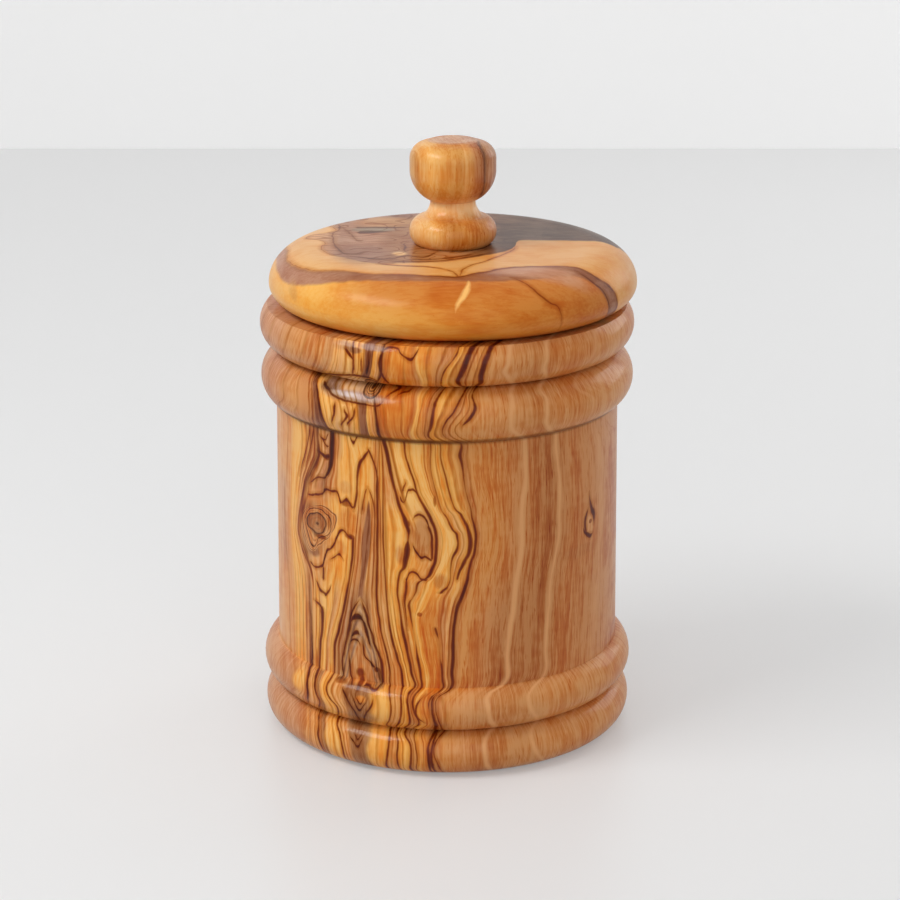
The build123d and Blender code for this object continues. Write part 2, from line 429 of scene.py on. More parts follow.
    "faint streak": (90.0, [
        (36, 2), (33, 6), (37, 10.9), (33.5, 16.4), (41, 22), (42, 30), (43.5, 40.2), (45, 47), (46, 60),
        (45.2, 67.3), (43.9, 75.6), (41.2, 82), (36, 88.6), (40, 94.8), (36, 100), (38, 105)]),
}

# Dark lines that follow a guide, as (height, half width in millimetres)
dark_on_guides = {
    "left line": [
        (0, .3), (12, .25), (16, .35), (20, .4), (26, .4), (31, .45), (34, .45), (36.5, .55), (37.8, .2),
        (38.4, -1.5), (69.6, -1.5), (70.6, .35), (72, .5), (74, .75), (77, .85), (80, .8), (82, .7),
        (84, .35), (88, .45), (92, .35), (95, .1), (96, -1.5)],
    "long line": [
        (0, .25), (10, .3), (16, .3), (22, .3), (30, .42), (40, .38), (50, .33), (57, .33), (58.5, -1.5),
        (64, -1.5), (66, -1.5), (76.5, -1.5), (97, -1.5), (99, .3), (104, .25)],
    "right of streak": [
        (0, .28), (22, .28), (35, .3), (45, .35), (58, .35), (70, .3), (73, .1), (78, .12), (82, .2),
        (84, -1.5)],
    "second right": [
        (0, .2), (22, .3), (30, .35), (40, .25), (50, .25), (60, .22), (70, .2), (82, .12), (84, -1.5)],
    "wedge line": [
        (0, .33), (10, .3), (22, .28), (28, .4), (35, .4), (40, .3), (47, .28), (50, .3), (51.5, .5),
        (53.5, .72), (56, .75), (57.3, .45), (58.3, .1), (59.5, .15), (60.7, .45), (63, .6), (65, .42),
        (70, .4), (76, .5), (82, .6), (86, .4), (91, .3), (94, .1), (99, .3), (104, .25)],
    "lens edge": [
        (0, .1), (11, .2), (20, .35), (24, .28), (29, .32), (31, .18), (36, .05), (39, .25), (42, .42),
        (43.5, .25), (44.3, .1), (46, .22), (48.2, .3), (49, .38), (51, .4), (59, .4), (66, .42),
        (69, .33), (71, .22), (75, .22), (82, .28), (83, -1.5)],
    "inner line": [
        (0, -1.5), (19, .2), (22, .2), (28, .22), (29.5, -.05), (34, -.05), (35.5, .3), (37, .3),
        (38, -1.5), (45, -1.5), (45.6, .4), (46.5, .5), (47.3, .12), (50, .08), (54, .2), (55.5, .32),
        (58, .18), (60.5, .3), (62, .22), (65, .1), (82, .08), (84, -1.5)],
    "dark boundary": [
        (0, .3), (5, .4), (9, .35), (11, .5), (14, .4), (18, .3), (21, .2), (22, -1.5), (47, -1.5),
        (49, .18), (51, .3), (53, .45), (56, .5), (60, .42), (63, .33), (65.5, .28), (67, .18), (74, .2),
        (77, .22), (82, .12), (84, .28), (88, .45), (92, .4), (95, .15), (98, .2), (104, .2)],
    "second boundary": [
        (0, .1), (9, .2), (20, .1), (22, .4), (30, .4), (40, .4), (46, .45), (50, .33), (54, .3),
        (58, .33), (62, .28), (66, .18), (70, .08), (75, .15), (79, .5), (81, .35), (84, .05), (88, .22),
        (92, .3), (95, .2), (97, .5), (101, .65), (105, .6)],
    "rim line": [(84, -1.5), (88, .45), (91, .4), (94, .1), (96, .5), (100, .65), (105, .55)],
}
band_widths = [
    (36, -1.5), (38.5, .25), (41, .35), (44, .4), (46, .6), (48, 1.0), (50, 1.35), (52.5, 1.0), (56, .85),
    (60, 1.15), (64, 1.25), (68, 1.2), (72, 1.15), (75, .9), (77, .6), (79, .4), (82, .4), (84, .5),
    (88, .5), (92, .4), (96, .1), (100, -1.5),
]

# Thin lines between the guides, as (layer number, half width in layer numbers, strength), on the
# foot, low, in the middle and high on the wall, and on the collar
thin_foot = [
    (8.2, .5, .3), (10.2, .5, .4), (15.2, .4, .4), (18.4, .3, .5), (20, .3, .4), (22.6, .3, .35),
    (24.7, .3, .6), (25.6, .3, .3), (31.4, .3, .4), (34.2, .3, .5), (36.9, .3, .5), (39.9, .3, .5),
    (42.6, .3, .4), (46, .4, .3), (51, .3, .45),
]
thin_low = [
    (2.4, .5, .25), (5.6, .3, .4), (7.1, .3, .5), (8.8, .3, .6), (10.3, .3, .8), (11.7, .3, .9),
    (14.4, .35, .5), (15.8, .3, .6), (18.3, .35, .3), (20.4, .3, .4), (22.3, .3, .3), (24.6, .35, .8),
    (26, .3, .4), (31.9, .2, .5), (32.5, .15, .4), (34.1, .25, .5), (36.5, .25, .4), (37.3, .25, .75),
    (39.7, .3, .6), (43, .25, .35), (48.8, .3, .4), (51, .3, .6),
]
thin_middle = [
    (2, .5, .2), (8, .4, .25), (10, .4, .25), (20, .4, .3), (22.4, .35, .45), (24.7, .3, .8),
    (25.9, .3, .4), (30.2, .45, .6), (31.7, .3, .95), (34.4, .35, .75), (36.1, .3, .45), (37, .4, .4),
    (42.9, .3, .35), (48.8, .3, .45),
]
thin_high = [
    (3, .5, .25), (8.5, .5, .35), (10, .5, .55), (11.3, .45, .7), (12.4, .4, .7), (14.3, .35, .6),
    (15.2, .3, .55), (18.4, .4, .35), (19.8, .4, .4), (22.8, .3, .4), (31.6, .35, .5), (33.9, .35, .6),
    (36.1, .25, .5), (39.4, .3, .95), (42.4, .3, .4), (46, .3, .4), (48.8, .3, .45), (51.1, .3, .45),
    (53.4, .4, .35),
]
thin_collar = [
    (-8, 1.2, .25), (-3, .8, .2), (4, .6, .3), (9, .5, .25), (12.6, .4, .5), (18.4, .3, .35),
    (20.1, .3, .4), (22.5, .3, .6), (23.8, .3, .55), (25.3, .3, .5), (26.6, .3, .5), (31.2, .3, .5),
    (32.1, .3, .5), (34.8, .3, .4), (40, .35, .3), (42.8, .3, .35), (46.4, .35, .45), (48.6, .35, .6),
    (51.1, .3, .7), (53.4, .3, .65), (54.8, .3, .5),
]
thin_left = (thin_foot, thin_low, thin_middle, thin_high, thin_collar)

# Free dark lines, as (round from the front, height, half width), all in millimetres
dark_upright = [
    [(-38.2, 37.5, -.1), (-37.9, 35.5, .15), (-37.4, 33.7, .15), (-37.3, 30, .15), (-37.2, 27.5, .3),
     (-37.15, 24, .4), (-37.15, 22, .4), (-36, 20.5, .4), (-35.1, 18, .4), (-34.8, 16, .4),
     (-35.5, 14, .3), (-37, 12, .2), (-37, 11, -.1)],
    [(-4.5, 62.6, -.1), (-4.2, 61.6, .3), (-3.8, 60.3, .3), (-3.55, 59.3, .33), (-3.5, 57.5, .33),
     (-3.5, 55.5, .33), (-3.55, 54, .3), (-3.6, 53.4, -.1)],
    [(-9.6, 49, -.1), (-9.6, 48, .3), (-9.6, 47, .3), (-9.8, 45, .35), (-10, 43, .3), (-9.9, 40.6, .25),
     (-9.7, 38.8, .2), (-9.5, 37.2, .12), (-9.4, 36, -.1)],
    [(-10.4, 69.6, -.1), (-10.4, 70.3, .3), (-10.2, 71.2, .25), (-9.8, 72.1, .2), (-9.9, 73, -.1)],
    [(-32.7, 44.4, -.1), (-32.7, 45, .4), (-32.7, 47.6, .35), (-32.7, 48.2, -.1)],
    [(-4.8, 20.9, -.1), (-6.2, 19.5, .22), (-6.8, 17.5, .28), (-6.6, 16, .28), (-5.8, 14.8, .25),
     (-4.7, 14.2, -.1)],
    [(-25.8, 90.7, -.1), (-25.8, 89.4, .3), (-25.8, 87.9, .3), (-26.5, 86.1, .3), (-27.4, 84.3, -.1)],
    [(-23.2, 89.9, -.1), (-23, 88.7, .35), (-22.5, 87.8, .45), (-23.2, 86.7, .35), (-24.2, 85.4, .3),
     (-24.9, 84.1, -.1)],
    [(-20.5, 90.6, -.1), (-20.6, 89.1, .35), (-20.8, 87.9, .35), (-21.5, 87, .35), (-22.4, 86, .3),
     (-22.7, 85.2, -.1)],
    [(-15.2, 90.3, -.1), (-15.3, 88.2, .3), (-15.3, 86.2, .35), (-15.1, 84.4, .3), (-15, 83, -.1)],
    [(-17.2, 104.3, -.1), (-16.9, 101.5, .2), (-17.7, 98.5, .25), (-18, 97.6, -.1)],
    [(-13.5, 104.6, -.1), (-14.2, 103.2, .35), (-14.6, 101.3, .35), (-14.2, 98.9, .35), (-13.4, 96.4, .3),
     (-12.9, 95.4, -.1)],
    [(-20.4, 102.2, -.1), (-20.6, 101.4, .3), (-20.8, 99.3, .3), (-21.3, 97.9, .1), (-21.5, 97, -.1)],
    [(-18.9, 103, -.1), (-18.8, 101.4, .2), (-18.9, 99, .2), (-19.2, 97.8, -.1)],
    [(-25.4, 20.4, -.1), (-24.7, 19.5, .3), (-23.5, 18.3, .35), (-22.3, 16.7, .3), (-21, 14.5, .3),
     (-20.7, 12.1, .2), (-20.7, 11, -.1)],
    [(-16.7, 19.7, -.1), (-16.9, 17.8, .3), (-17.9, 15.7, .3), (-19.5, 12.9, .25), (-20, 11.4, -.1)],
    [(-1.6, 21.6, -.1), (-.8, 12.6, -.1), (-2.6, 10.3, .35), (-3.2, 8.6, .3), (-3.5, 6, .4),
     (-3.2, 3.3, .4), (-2.6, 1, .3)],
    [(-21.3, 42.4, -.1), (-22.6, 40.7, .25), (-23.6, 39.1, .3), (-24.3, 36.7, .35), (-24.6, 34.4, .4),
     (-25.4, 31.2, .35), (-26.3, 27.9, .35), (-26.7, 25.8, .3), (-26.6, 23.3, .3), (-26.5, 21.6, -.1)],
    [(-21.3, 42.6, -.1), (-20.4, 40.2, .35), (-19.7, 38.3, .4), (-19.2, 36.1, .35), (-18.2, 33.8, .35),
     (-17.7, 31.6, .35), (-16.6, 29.3, .4), (-15.8, 26.9, .5), (-15.6, 24.6, .45), (-15.6, 22.4, .4),
     (-15.9, 21, -.1)],
    [(-21.1, 38.2, -.1), (-20.4, 36.4, .35), (-19.8, 34.1, .45), (-19.4, 32.9, .4), (-18.9, 31.4, .25),
     (-18.7, 30.2, -.1)],
    [(-20.9, 32.8, -.1), (-20.7, 30.6, .22), (-20.5, 28.6, .22), (-19.8, 27.7, .25), (-18.9, 27, .3),
     (-18, 26, .5), (-17.6, 25.4, -.1)],
    [(-24.8, 28.6, -.1), (-24.6, 26.3, .22), (-24.4, 24.3, .25), (-24.1, 22.3, .25), (-23.1, 21.3, .25),
     (-22.8, 20.6, -.1)],
    [(-18.6, 79.8, -.1), (-19.4, 78.6, .3), (-20.2, 77.5, .45), (-21.1, 76, .5), (-21.8, 73.9, .4),
     (-22.2, 70.4, .3), (-22.3, 67.3, .35), (-22.9, 65.1, .3), (-23.2, 63.6, -.1)],
    [(-19.2, 79.8, -.1), (-19, 79.2, .3), (-18.3, 77.9, .3), (-17.5, 75.9, .25), (-16.9, 73.6, .2),
     (-16.6, 71.2, .2), (-16.5, 67.4, .1), (-16.5, 64, -.1)],
    [(-19.3, 70.4, -.1), (-19.9, 69, .2), (-20.4, 66.9, .22), (-20.8, 64.7, .25), (-21, 63.3, -.1)],
    [(-19.5, 70.4, -.1), (-18.6, 68.9, .18), (-17.9, 66.9, .18), (-17.4, 64.1, .15), (-17.2, 62, -.1)],
    [(-37.5, 81.6, -.1), (-37.6, 80.6, .3), (-38.1, 77.7, .3), (-39.5, 74.5, .25), (-41.2, 70.6, .2),
     (-42.2, 68, -.1)],
    [(-36, 81.8, -.1), (-36.1, 80.2, .25), (-37.1, 76.9, .25), (-38.3, 73.8, .2), (-39.6, 71, -.1)],
    [(39.7, 61.2, -.1), (38.9, 60, .35), (38.3, 58.6, .45), (38.1, 57, .45), (38.4, 55.4, .4),
     (38.9, 54.2, -.1)],
    [(39.8, 65, -.1), (40.1, 63, .3), (40.6, 61.3, .6), (41.4, 59.6, .9), (41.9, 58.2, .6),
     (41.9, 56, -.1)],
]
dark_level = [
    [(-38.6, 64.6, -.1), (-37.9, 64.7, .3), (-36, 65.1, .3), (-34.1, 65.6, .32), (-33.2, 65.9, .35),
     (-32.7, 66.2, .5), (-32.3, 66.9, .6), (-31.9, 67.15, .35), (-31.1, 67.4, .3), (-29.8, 67.25, .28),
     (-28.6, 67.55, .35), (-28.1, 67.5, .4), (-27.5, 66.6, .6), (-27, 65.3, .6), (-26.6, 65.2, .3),
     (-26, 65.6, .4), (-25.1, 66, .5), (-24.5, 65.6, .6), (-24, 65, .5), (-23.4, 64.6, .35),
     (-23, 65.1, .3), (-22.7, 65.6, -.1)],
    [(-37.8, 48, -.1), (-37.3, 47.8, .3), (-36.3, 47.2, .3), (-35.6, 47.15, .3), (-34.9, 47.3, .3),
     (-33.7, 47.9, .32), (-32.9, 48.3, .5), (-32.6, 49.2, .9), (-32.3, 50.2, .9), (-32, 50.9, .8),
     (-31.5, 52.2, .6), (-31.1, 52.6, .4), (-30.4, 52.9, .3), (-29.9, 53.4, .4), (-29.4, 54, .5),
     (-28.9, 54.8, .6), (-28.5, 55.7, .7), (-28.1, 56.5, .7), (-27.6, 57.5, .6), (-27.1, 58.1, .4),
     (-26.5, 58.4, .35), (-25.8, 58.1, .35), (-25.2, 57.5, .4), (-24.6, 57.2, .5), (-23.9, 57, .5),
     (-23.4, 56.9, -.1)],
    [(-37.8, 67.3, -.1), (-37.2, 67.8, .2), (-36.7, 68.2, .28), (-35.8, 69, .26), (-34.6, 69.7, .26),
     (-33.2, 70, .26), (-31.8, 70.3, .35), (-31.2, 70.9, -.1)],
    [(-30.6, 50.2, -.1), (-29.8, 50.6, .15), (-28.7, 51.3, .22), (-28, 51.9, .35), (-27.5, 52.2, .45),
     (-27, 52, .33), (-26.5, 51.4, .15), (-26.2, 50.9, -.1)],
    [(-35.6, 43.8, -.1), (-35.2, 43.3, .3), (-34.6, 42.6, .5), (-34, 41.9, .5), (-33.3, 41.6, .4),
     (-32.6, 41.4, .4), (-32, 41.1, .5), (-31.4, 41.7, .5), (-30.8, 42.4, .4), (-30.3, 43.3, .3),
     (-30.1, 44, -.1)],
    [(-8, 63.5, -.1), (-7.6, 64.2, .3), (-7, 64.6, .33), (-6.5, 64.75, .33), (-5.8, 64.5, .35),
     (-5.2, 64, .4), (-4.7, 63.2, .5), (-4.3, 62, .5), (-4.1, 61, -.1)],
    [(-8.1, 57.3, -.1), (-7.8, 56.6, .5), (-7.4, 55.8, .45), (-7, 55.2, .4), (-6.7, 54.8, .35),
     (-6, 54.1, .33), (-5.6, 54.2, .3), (-5.2, 54.4, .3), (-4.6, 54.15, .3), (-3.8, 53.7, .3),
     (-3.4, 53.5, -.1)],
    [(-9.9, 48.5, -.1), (-9.6, 48.6, .6), (-9.3, 49.5, .5), (-9, 50.2, .33), (-8.3, 50.6, .28),
     (-7.2, 50.2, .3), (-6.6, 49.5, .33), (-6.2, 49, .28), (-5.5, 48.8, .28), (-4.9, 48.8, .28),
     (-4.4, 49.1, -.1)],
    [(-11.2, 69, -.1), (-10.9, 68.3, .45), (-10.5, 67.7, .3), (-10.2, 67.5, .25), (-9.9, 67.9, .35),
     (-9.6, 68.8, .45), (-9.3, 69.9, .45), (-9, 70.5, .33), (-8.5, 70.6, .3), (-8, 70.7, .3),
     (-7.5, 70.3, .33), (-7.1, 69.7, .4), (-6.8, 69.2, -.1)],
    [(-36.6, 38.6, -.1), (-35.6, 38.4, .25), (-34.9, 38.2, .33), (-34.3, 38, .4), (-33.8, 37.6, .5),
     (-33.4, 36.9, .6), (-33.1, 36.2, -.1)],
    [(-34.1, 80.7, -.1), (-33.1, 79.8, .3), (-31.8, 79.6, .3), (-31.1, 80.6, .3), (-30.5, 81.4, -.1)],
    [(-32.9, 79.7, -.1), (-32.6, 79.4, .25), (-31.9, 78.5, .35), (-30.9, 78, .35), (-30.2, 78.7, -.1)],
    [(-24.3, 82.3, -.1), (-23.9, 81.2, .35), (-23.1, 80.3, .45), (-22.3, 81.6, .35), (-21.6, 82.4, -.1)],
    [(-34.7, 76.3, -.1), (-34, 76.2, .35), (-32, 75.5, .6), (-30.5, 75.8, .7), (-29.8, 76, -.1)],
    [(-37.3, 94.9, -.1), (-35.3, 94.9, .2), (-30.1, 96, .3), (-25, 96.8, .3), (-20.6, 97.5, .3),
     (-18.2, 97.4, .3), (-16.1, 96.7, .3), (-15.3, 94.9, .3), (-14.8, 94, -.1)],
    [(-31.6, 94.3, -.1), (-30.8, 93.7, .3), (-28.7, 92.7, .35), (-26.4, 91.7, .3), (-24, 91.3, .25),
     (-21.3, 91.1, .25), (-18.8, 91, .25), (-16.4, 90.9, .2), (-14.9, 91.2, .2), (-13.9, 92.7, -.1)],
    [(-14.2, 96.6, -.1), (-13.1, 95.4, .25), (-11.2, 94.7, .3), (-10.6, 94.6, -.1)],
    [(-14.2, 92.3, -.1), (-13.3, 93.3, .25), (-12.2, 94, .25), (-11.2, 94.5, .25), (-10.6, 94.5, -.1)],
    [(-12, 92.7, -.1), (-10.6, 93.8, .25), (-8.8, 94.3, .25), (-7.8, 94.8, -.1)],
    [(-14.6, 104.1, -.1), (-13.9, 104.4, .25), (-12.6, 104.8, .25), (-10.6, 104.6, .2), (-10.1, 104, .2),
     (-9.1, 103.2, .3), (-8.2, 102.7, .35), (-7.4, 102.7, .35), (-6.8, 103.5, .35), (-6.2, 104.7, .25),
     (-6, 105.2, -.1)],
    [(-23.4, 103.7, -.1), (-22.7, 103.3, .5), (-21.7, 102.5, .45), (-20.6, 101.4, .3), (-20.3, 101, -.1)],
    [(-22.7, 19.6, -.1), (-21.3, 17.8, .25), (-20.6, 16.4, .3), (-19.8, 15.7, .4), (-19, 16.9, .3),
     (-18, 19, -.1)],
    [(-21.4, 19.4, -.1), (-20.6, 18.1, .2), (-19.7, 17.4, .28), (-19.2, 18.3, .2), (-18.8, 19.3, -.1)],
    [(-23.7, 8.9, -.1), (-21.8, 7.2, .25), (-20.6, 6.1, .35), (-19.9, 7.6, .25), (-19.4, 9.2, -.1)],
    [(-22.2, 9, -.1), (-21.4, 8.3, .2), (-20.8, 7.8, .25), (-20.3, 8.6, .2), (-20, 9.4, -.1)],
    [(-24.6, 34.6, -.1), (-24.3, 35.4, .3), (-24.1, 36.2, .4), (-23.6, 37.1, .6), (-22.8, 37.6, .8),
     (-21.9, 37.8, .8), (-21.2, 37.6, .6), (-20.7, 36.9, .3), (-20.5, 36.2, -.1)],
    [(-24.1, 32.3, -.1), (-23.5, 33.1, .5), (-22.8, 33.6, .6), (-22, 33.6, .5), (-21.6, 33, -.1)],
    [(-24.5, 30.2, -.1), (-24, 31.3, .2), (-22.5, 31.8, .3), (-21.6, 30.9, .2), (-21.4, 30, -.1)],
    [(-19.9, 21, -.1), (-19.7, 21.4, .25), (-18.8, 21.4, .25), (-17.7, 20.9, .35), (-16.7, 20.9, .4),
     (-16.1, 21.5, .4), (-15.8, 22.2, -.1)],
    [(37.2, 57.2, -.1), (37.6, 55.8, .5), (38.5, 54.7, .75), (39.5, 54, .7), (40.6, 53.7, .5),
     (41.7, 54.3, -.1)],
]

# Knots, as (round from the front, height): the small one in the groove between the collar beads,
# and the one on the left, with its rings as (degrees round from the right, distance from its pith)
eye = (-17.7, 94.5)
left_knot = (-34.7, 58.2)
left_knot_oval = ((-33, 56.5), (8.2, 10.5))      # centre and reach of the oval without thin lines
left_knot_rings = [
    [(-180, 4.2), (-159, 4.0), (-143, 2.9), (-112, 2.4), (-78, 2.45), (-43, 2.5), (-12, 2.45), (10, 2.9),
     (35, 2.9), (62, 2.7), (94, 2.6), (127, 2.6), (152, 3.4), (175, 4.2), (180, 4.2)],
    [(-180, 5.0), (-154, 5.0), (-133, 5.45), (-120, 6.0), (-111, 6.4), (-100, 5.9), (-92, 4.2),
     (-76, 3.4), (-54, 3.45), (-34, 3.9), (-20, 4.4), (-4, 4.7), (5, 4.6), (20, 4.9), (36, 4.8),
     (47, 4.2), (63, 4.1), (87, 3.8), (118, 3.85), (147, 4.3), (180, 5.0)],
    [(-180, 6.2), (-140, 6.5), (-125, 7.1), (-111, 7.4), (-100, 6.9), (-89, 5.3), (-75, 4.8), (-60, 4.4),
     (-40, 4.5), (-12, 5.0), (0, 5.6), (10, 6.1), (21, 6.75), (29, 6.85), (34, 6.5), (52, 5.7), (73, 4.9),
     (98, 4.3), (140, 4.65), (160, 5.5), (180, 6.2)],
]

# Colours, as they show in plain light
pale = srgb(246, 184, 102)
gold = srgb(240, 172, 86)
tan = srgb(228, 162, 98)
pink_tan = srgb(208, 148, 104)
orange = srgb(218, 136, 58)
amber = srgb(212, 138, 70)
brown = srgb(204, 132, 74)
deep_brown = srgb(188, 119, 66)
grey_brown = srgb(166, 108, 64)
purple_brown = srgb(144, 84, 52)
dark_ink = srgb(88, 36, 8)
# painted shade for each turned groove and just under the lid
groove_shade_brown = srgb(88, 42, 14)
light_streak = srgb(222, 160, 104)
rim_orange = srgb(236, 156, 66)

# Light streaks on the right, as (guide, half width in millimetres, strength)
light_streaks = [("light streak", 0.8, 0.95), ("second streak", 0.65, 1.0), ("faint streak", 0.6, 0.5)]

# Painted shade along each turned groove and just under the lid, as (height, half width, fade, strength, how
# much stronger on the right)
groove_shade = [
    (11.1, 0.2, 0.5, 0.4, 0.0), (21.9, 0.1, 0.5, 0.25, 0.0), (82.5, 1.05, 0.7, 0.9, -0.25),
    (95.2, 0.3, 0.8, 0.25, 0.35), (rim_height + 0.1, 0.2, 0.9, 0.8, 0.0),
]

tones_foot = [
    (-30, pink_tan), (2, pink_tan), (5, brown), (7.5, tan), (9, tan), (12, brown), (13.5, tan), (16, tan),
    (17.6, brown), (19.5, grey_brown), (20.6, tan), (22, gold), (23.4, pale), (24.6, tan), (25.8, tan),
    (26.8, grey_brown), (27.6, grey_brown), (30, grey_brown), (30.8, gold), (32.6, gold), (33.4, tan),
    (35.4, tan), (36, gold), (38.4, gold), (39, brown), (40.8, tan), (41.4, gold), (44.2, gold),
    (44.9, orange), (47.4, orange), (48.2, brown), (50.2, deep_brown),
]
tones_low = [
    (-30, pink_tan), (0, tan), (4.6, tan), (5.4, gold), (6.8, pale), (9.2, gold), (10.2, tan),
    (11.2, brown), (12.4, grey_brown), (13, tan), (15, gold), (16.4, tan), (17.4, pale), (19.6, pale),
    (20.6, brown), (21.4, tan), (22.6, gold), (23.4, tan), (24.4, pink_tan), (26.5, grey_brown),
    (30.5, grey_brown), (31.8, tan), (35.6, tan), (36.4, pale), (38, gold), (39.2, tan), (41, gold),
    (43, pale), (44.3, gold), (44.9, orange), (47.2, orange), (49.3, brown),
]
tones_middle = [
    (-30, pink_tan), (-3, tan), (1.5, pink_tan), (4.4, tan), (5.5, gold), (7.6, pale), (9.4, gold),
    (11, tan), (12.8, brown), (13.6, tan), (16.8, tan), (19, gold), (21.5, pale), (23.2, gold),
    (24.6, tan), (26.4, brown), (28, brown), (30, tan), (31.8, brown), (33, tan), (35.2, tan), (36, pale),
    (38.4, pale), (39, gold), (41.4, tan), (43, pale), (46.5, pale), (47.6, gold), (48.6, tan),
    (49.8, gold),
]
tones_high = [
    (-30, pink_tan), (0, tan), (4.4, tan), (5.5, gold), (7.6, pale), (9, gold), (10.5, tan),
    (12.2, brown), (13.4, grey_brown), (14.2, tan), (16, pink_tan), (16.8, grey_brown), (17.8, brown),
    (19.4, tan), (21, gold), (21.8, pale), (23.4, pale), (24.6, gold), (29, gold), (32, tan),
    (35.5, gold), (36.2, tan), (38.6, tan), (39.3, pale), (41, pale), (42.5, gold), (44.4, pale),
    (45, gold), (47, orange), (47.8, gold), (49.8, gold),
]
tones_collar = [
    (-30, pink_tan), (0, pink_tan), (3, srgb(206, 140, 84)), (8, srgb(214, 146, 84)), (11, brown),
    (12.6, brown), (13.6, deep_brown), (14.6, purple_brown), (16.4, purple_brown), (17.2, gold),
    (19, pale), (20.8, gold), (21.6, tan), (22.6, pale), (24, tan), (25, gold), (26.4, gold),
    (27, purple_brown), (29.7, purple_brown), (30.4, gold), (32.6, gold), (33.2, tan), (36, tan),
    (37.6, grey_brown), (38.9, brown), (39.8, orange), (43.6, orange), (44.3, brown), (44.9, gold),
    (47, orange), (49, brown),
]
tones_left = (tones_foot, tones_low, tones_middle, tones_high, tones_collar)
tones_right_low = [
    (48, brown), (50, tan), (50.5, tan), (50.9, brown), (52.6, brown), (54, amber), (58, brown),
    (62, deep_brown), (72, deep_brown), (80, brown), (92, brown), (130, pink_tan),
]
tones_right_high = [
    (48, gold), (50, gold), (50.6, gold), (51.9, amber), (52.6, brown), (54, amber), (57, amber),
    (62, brown), (72, deep_brown), (80, brown), (92, brown), (130, pink_tan),
]

# Patches of stain in the wood, and a few of painted highlight and shade, as (colour, centre, reach, share)
stains_and_painted_light = [
    (orange, (-24.6, 60.9), (2.8, 3.6), .9), (orange, (-27.6, 54), (1.9, 1.8), .75),
    (orange, (-31, 54.6), (2.2, 1.2), .6), (grey_brown, (-38.6, 55), (2.4, 6.5), .85),
    (grey_brown, (-36, 57), (4.5, 6.0), .7), (purple_brown, (-36, 51), (1.9, 1.2), .8),
    (deep_brown, (-5.8, 59.2), (2.3, 5.4), .8), (brown, (-8.8, 59.8), (1.0, 3.2), .7),
    (brown, (-27.2, 78.5), (1.0, 3.2), .5), (brown, (-25.5, 69), (1.8, 1.6), .4),
    (deep_brown, (-1.5, 48.5), (1.6, 1.8), .5), (brown, (-11.2, 54.6), (1.0, 2.2), .6),
    (pale, (-38.4, 18.4), (2.2, 2.4), .9), (srgb(250, 180, 76), (-20.4, 25.6), (1.1, .5), .9),
    (srgb(220, 172, 124), (-23.6, 94.9), (7.2, 2.5), .9),
    # grey on the collar bead: the wood's own grey figure, partly painted sheen
    (srgb(182, 150, 140), (-21.6, 92.2), (7.4, 1.1), .9),
    (srgb(124, 92, 84), (-28.6, 93.5), (2.8, 1.2), .85),
    # painted highlight: a whitish streak on the collar bead
    (srgb(204, 184, 180), (-24.6, 92.5), (3.4, .5), .7),
    # three darker purple-brown patches at the top of the rim, just under the lid
    (srgb(140, 92, 74), (-24, 104.2), (3.0, .9), .7),
    (srgb(140, 92, 78), (-20.6, 103.5), (1.8, .6), .7),
    (srgb(150, 104, 88), (-16.6, 104.6), (3.0, .8), .7), (orange, (-19.8, 18.4), (1.2, .8), .9),
    (srgb(150, 100, 64), (-19.6, 13.8), (3.6, 2.0), .6), (orange, (-5.1, 7.4), (1.7, 3.0), .8),
    (pale, (-16.9, 5.4), (1.4, 3.4), .8), (pale, (-28.3, 7), (1.6, 2.6), .7),
    (brown, (40, 57), (3.6, 6.5), .6), (light_streak, (39.9, 56.5), (1.7, 2.2), .8),
    (deep_brown, (36, 51), (6.0, 1.6), .35), (tan, (-27, 101), (4.2, 6.0), .7),
    # dark line with painted shade, under the swell of the ankle bead just above its groove
    (deep_brown, (-0.8, 12.3), (1.8, 1.8), .9),
]


def jar_radius(height):
    """Radius of the jar's outside at a height."""
    for (low, low_radius), (high, high_radius) in zip(jar_outline, jar_outline[1:]):
        if height <= high:
            return low_radius + (high_radius - low_radius) * (height - low) / (high - low)
    return jar_outline[-1][1]


def layer_depth(around, height):
    """How far out from the tree's centre a point of the jar's outside lies, less the pith's distance."""
    radius = jar_radius(height)
    angle = around / front_radius - math.radians(pith_facing)
    across_ring = 2 * radius * pith_distance * math.cos(angle)
    return math.sqrt(radius ** 2 + pith_distance ** 2 + across_ring) - pith_distance


def depth_in_block(x, y, z):
    """The same depth at any point of the jar's block, a little uneven."""
    facing = math.radians(pith_facing)
    from_pith_x = x + pith_distance * math.sin(facing)
    from_pith_y = y - pith_distance * math.cos(facing)
    depth = (from_pith_x * from_pith_x + from_pith_y * from_pith_y) ** 0.5 - pith_distance
    return depth + noise(vector(x / 3.0, y / 3.0, z / 9.0), detail=2.0) * 0.22


def guide_depths(height):
    """The depth of each guide's layer at a height."""
    return {name: curve(height, [(place, layer_depth(around, place)) for around, place in points])
            for name, (_, points) in guides.items()}


def layer_number(depth, depths):
    """Layer number, read between the guides and one to the millimetre beyond them."""
    numbers = [number for number, _ in guides.values()]
    levels = list(depths.values())
    number = (depth - levels[0]).at_most(0.0) + numbers[0]
    for low_number, high_number, low, high in zip(numbers, numbers[1:], levels, levels[1:]):
        share = ((depth - low) / (high - low).at_least(0.05)).clamped()
        number = number + share * (high_number - low_number)
    return number + (depth - levels[-1]).at_least(0.0)


def thin_lines(lines):
    """Thin lines as (layer number, strength) stops, each line sharper towards the tree's centre."""
    stops = []
    for place, half_width, strength in lines:
        stops += [(place - half_width, 0.0), (place - half_width * 0.3, strength)]
        stops.append((place + half_width, 0.0))
    stops = [stop for index, stop in enumerate(stops) if index == 0 or stop[0] > stops[index - 1][0]]
    return stops


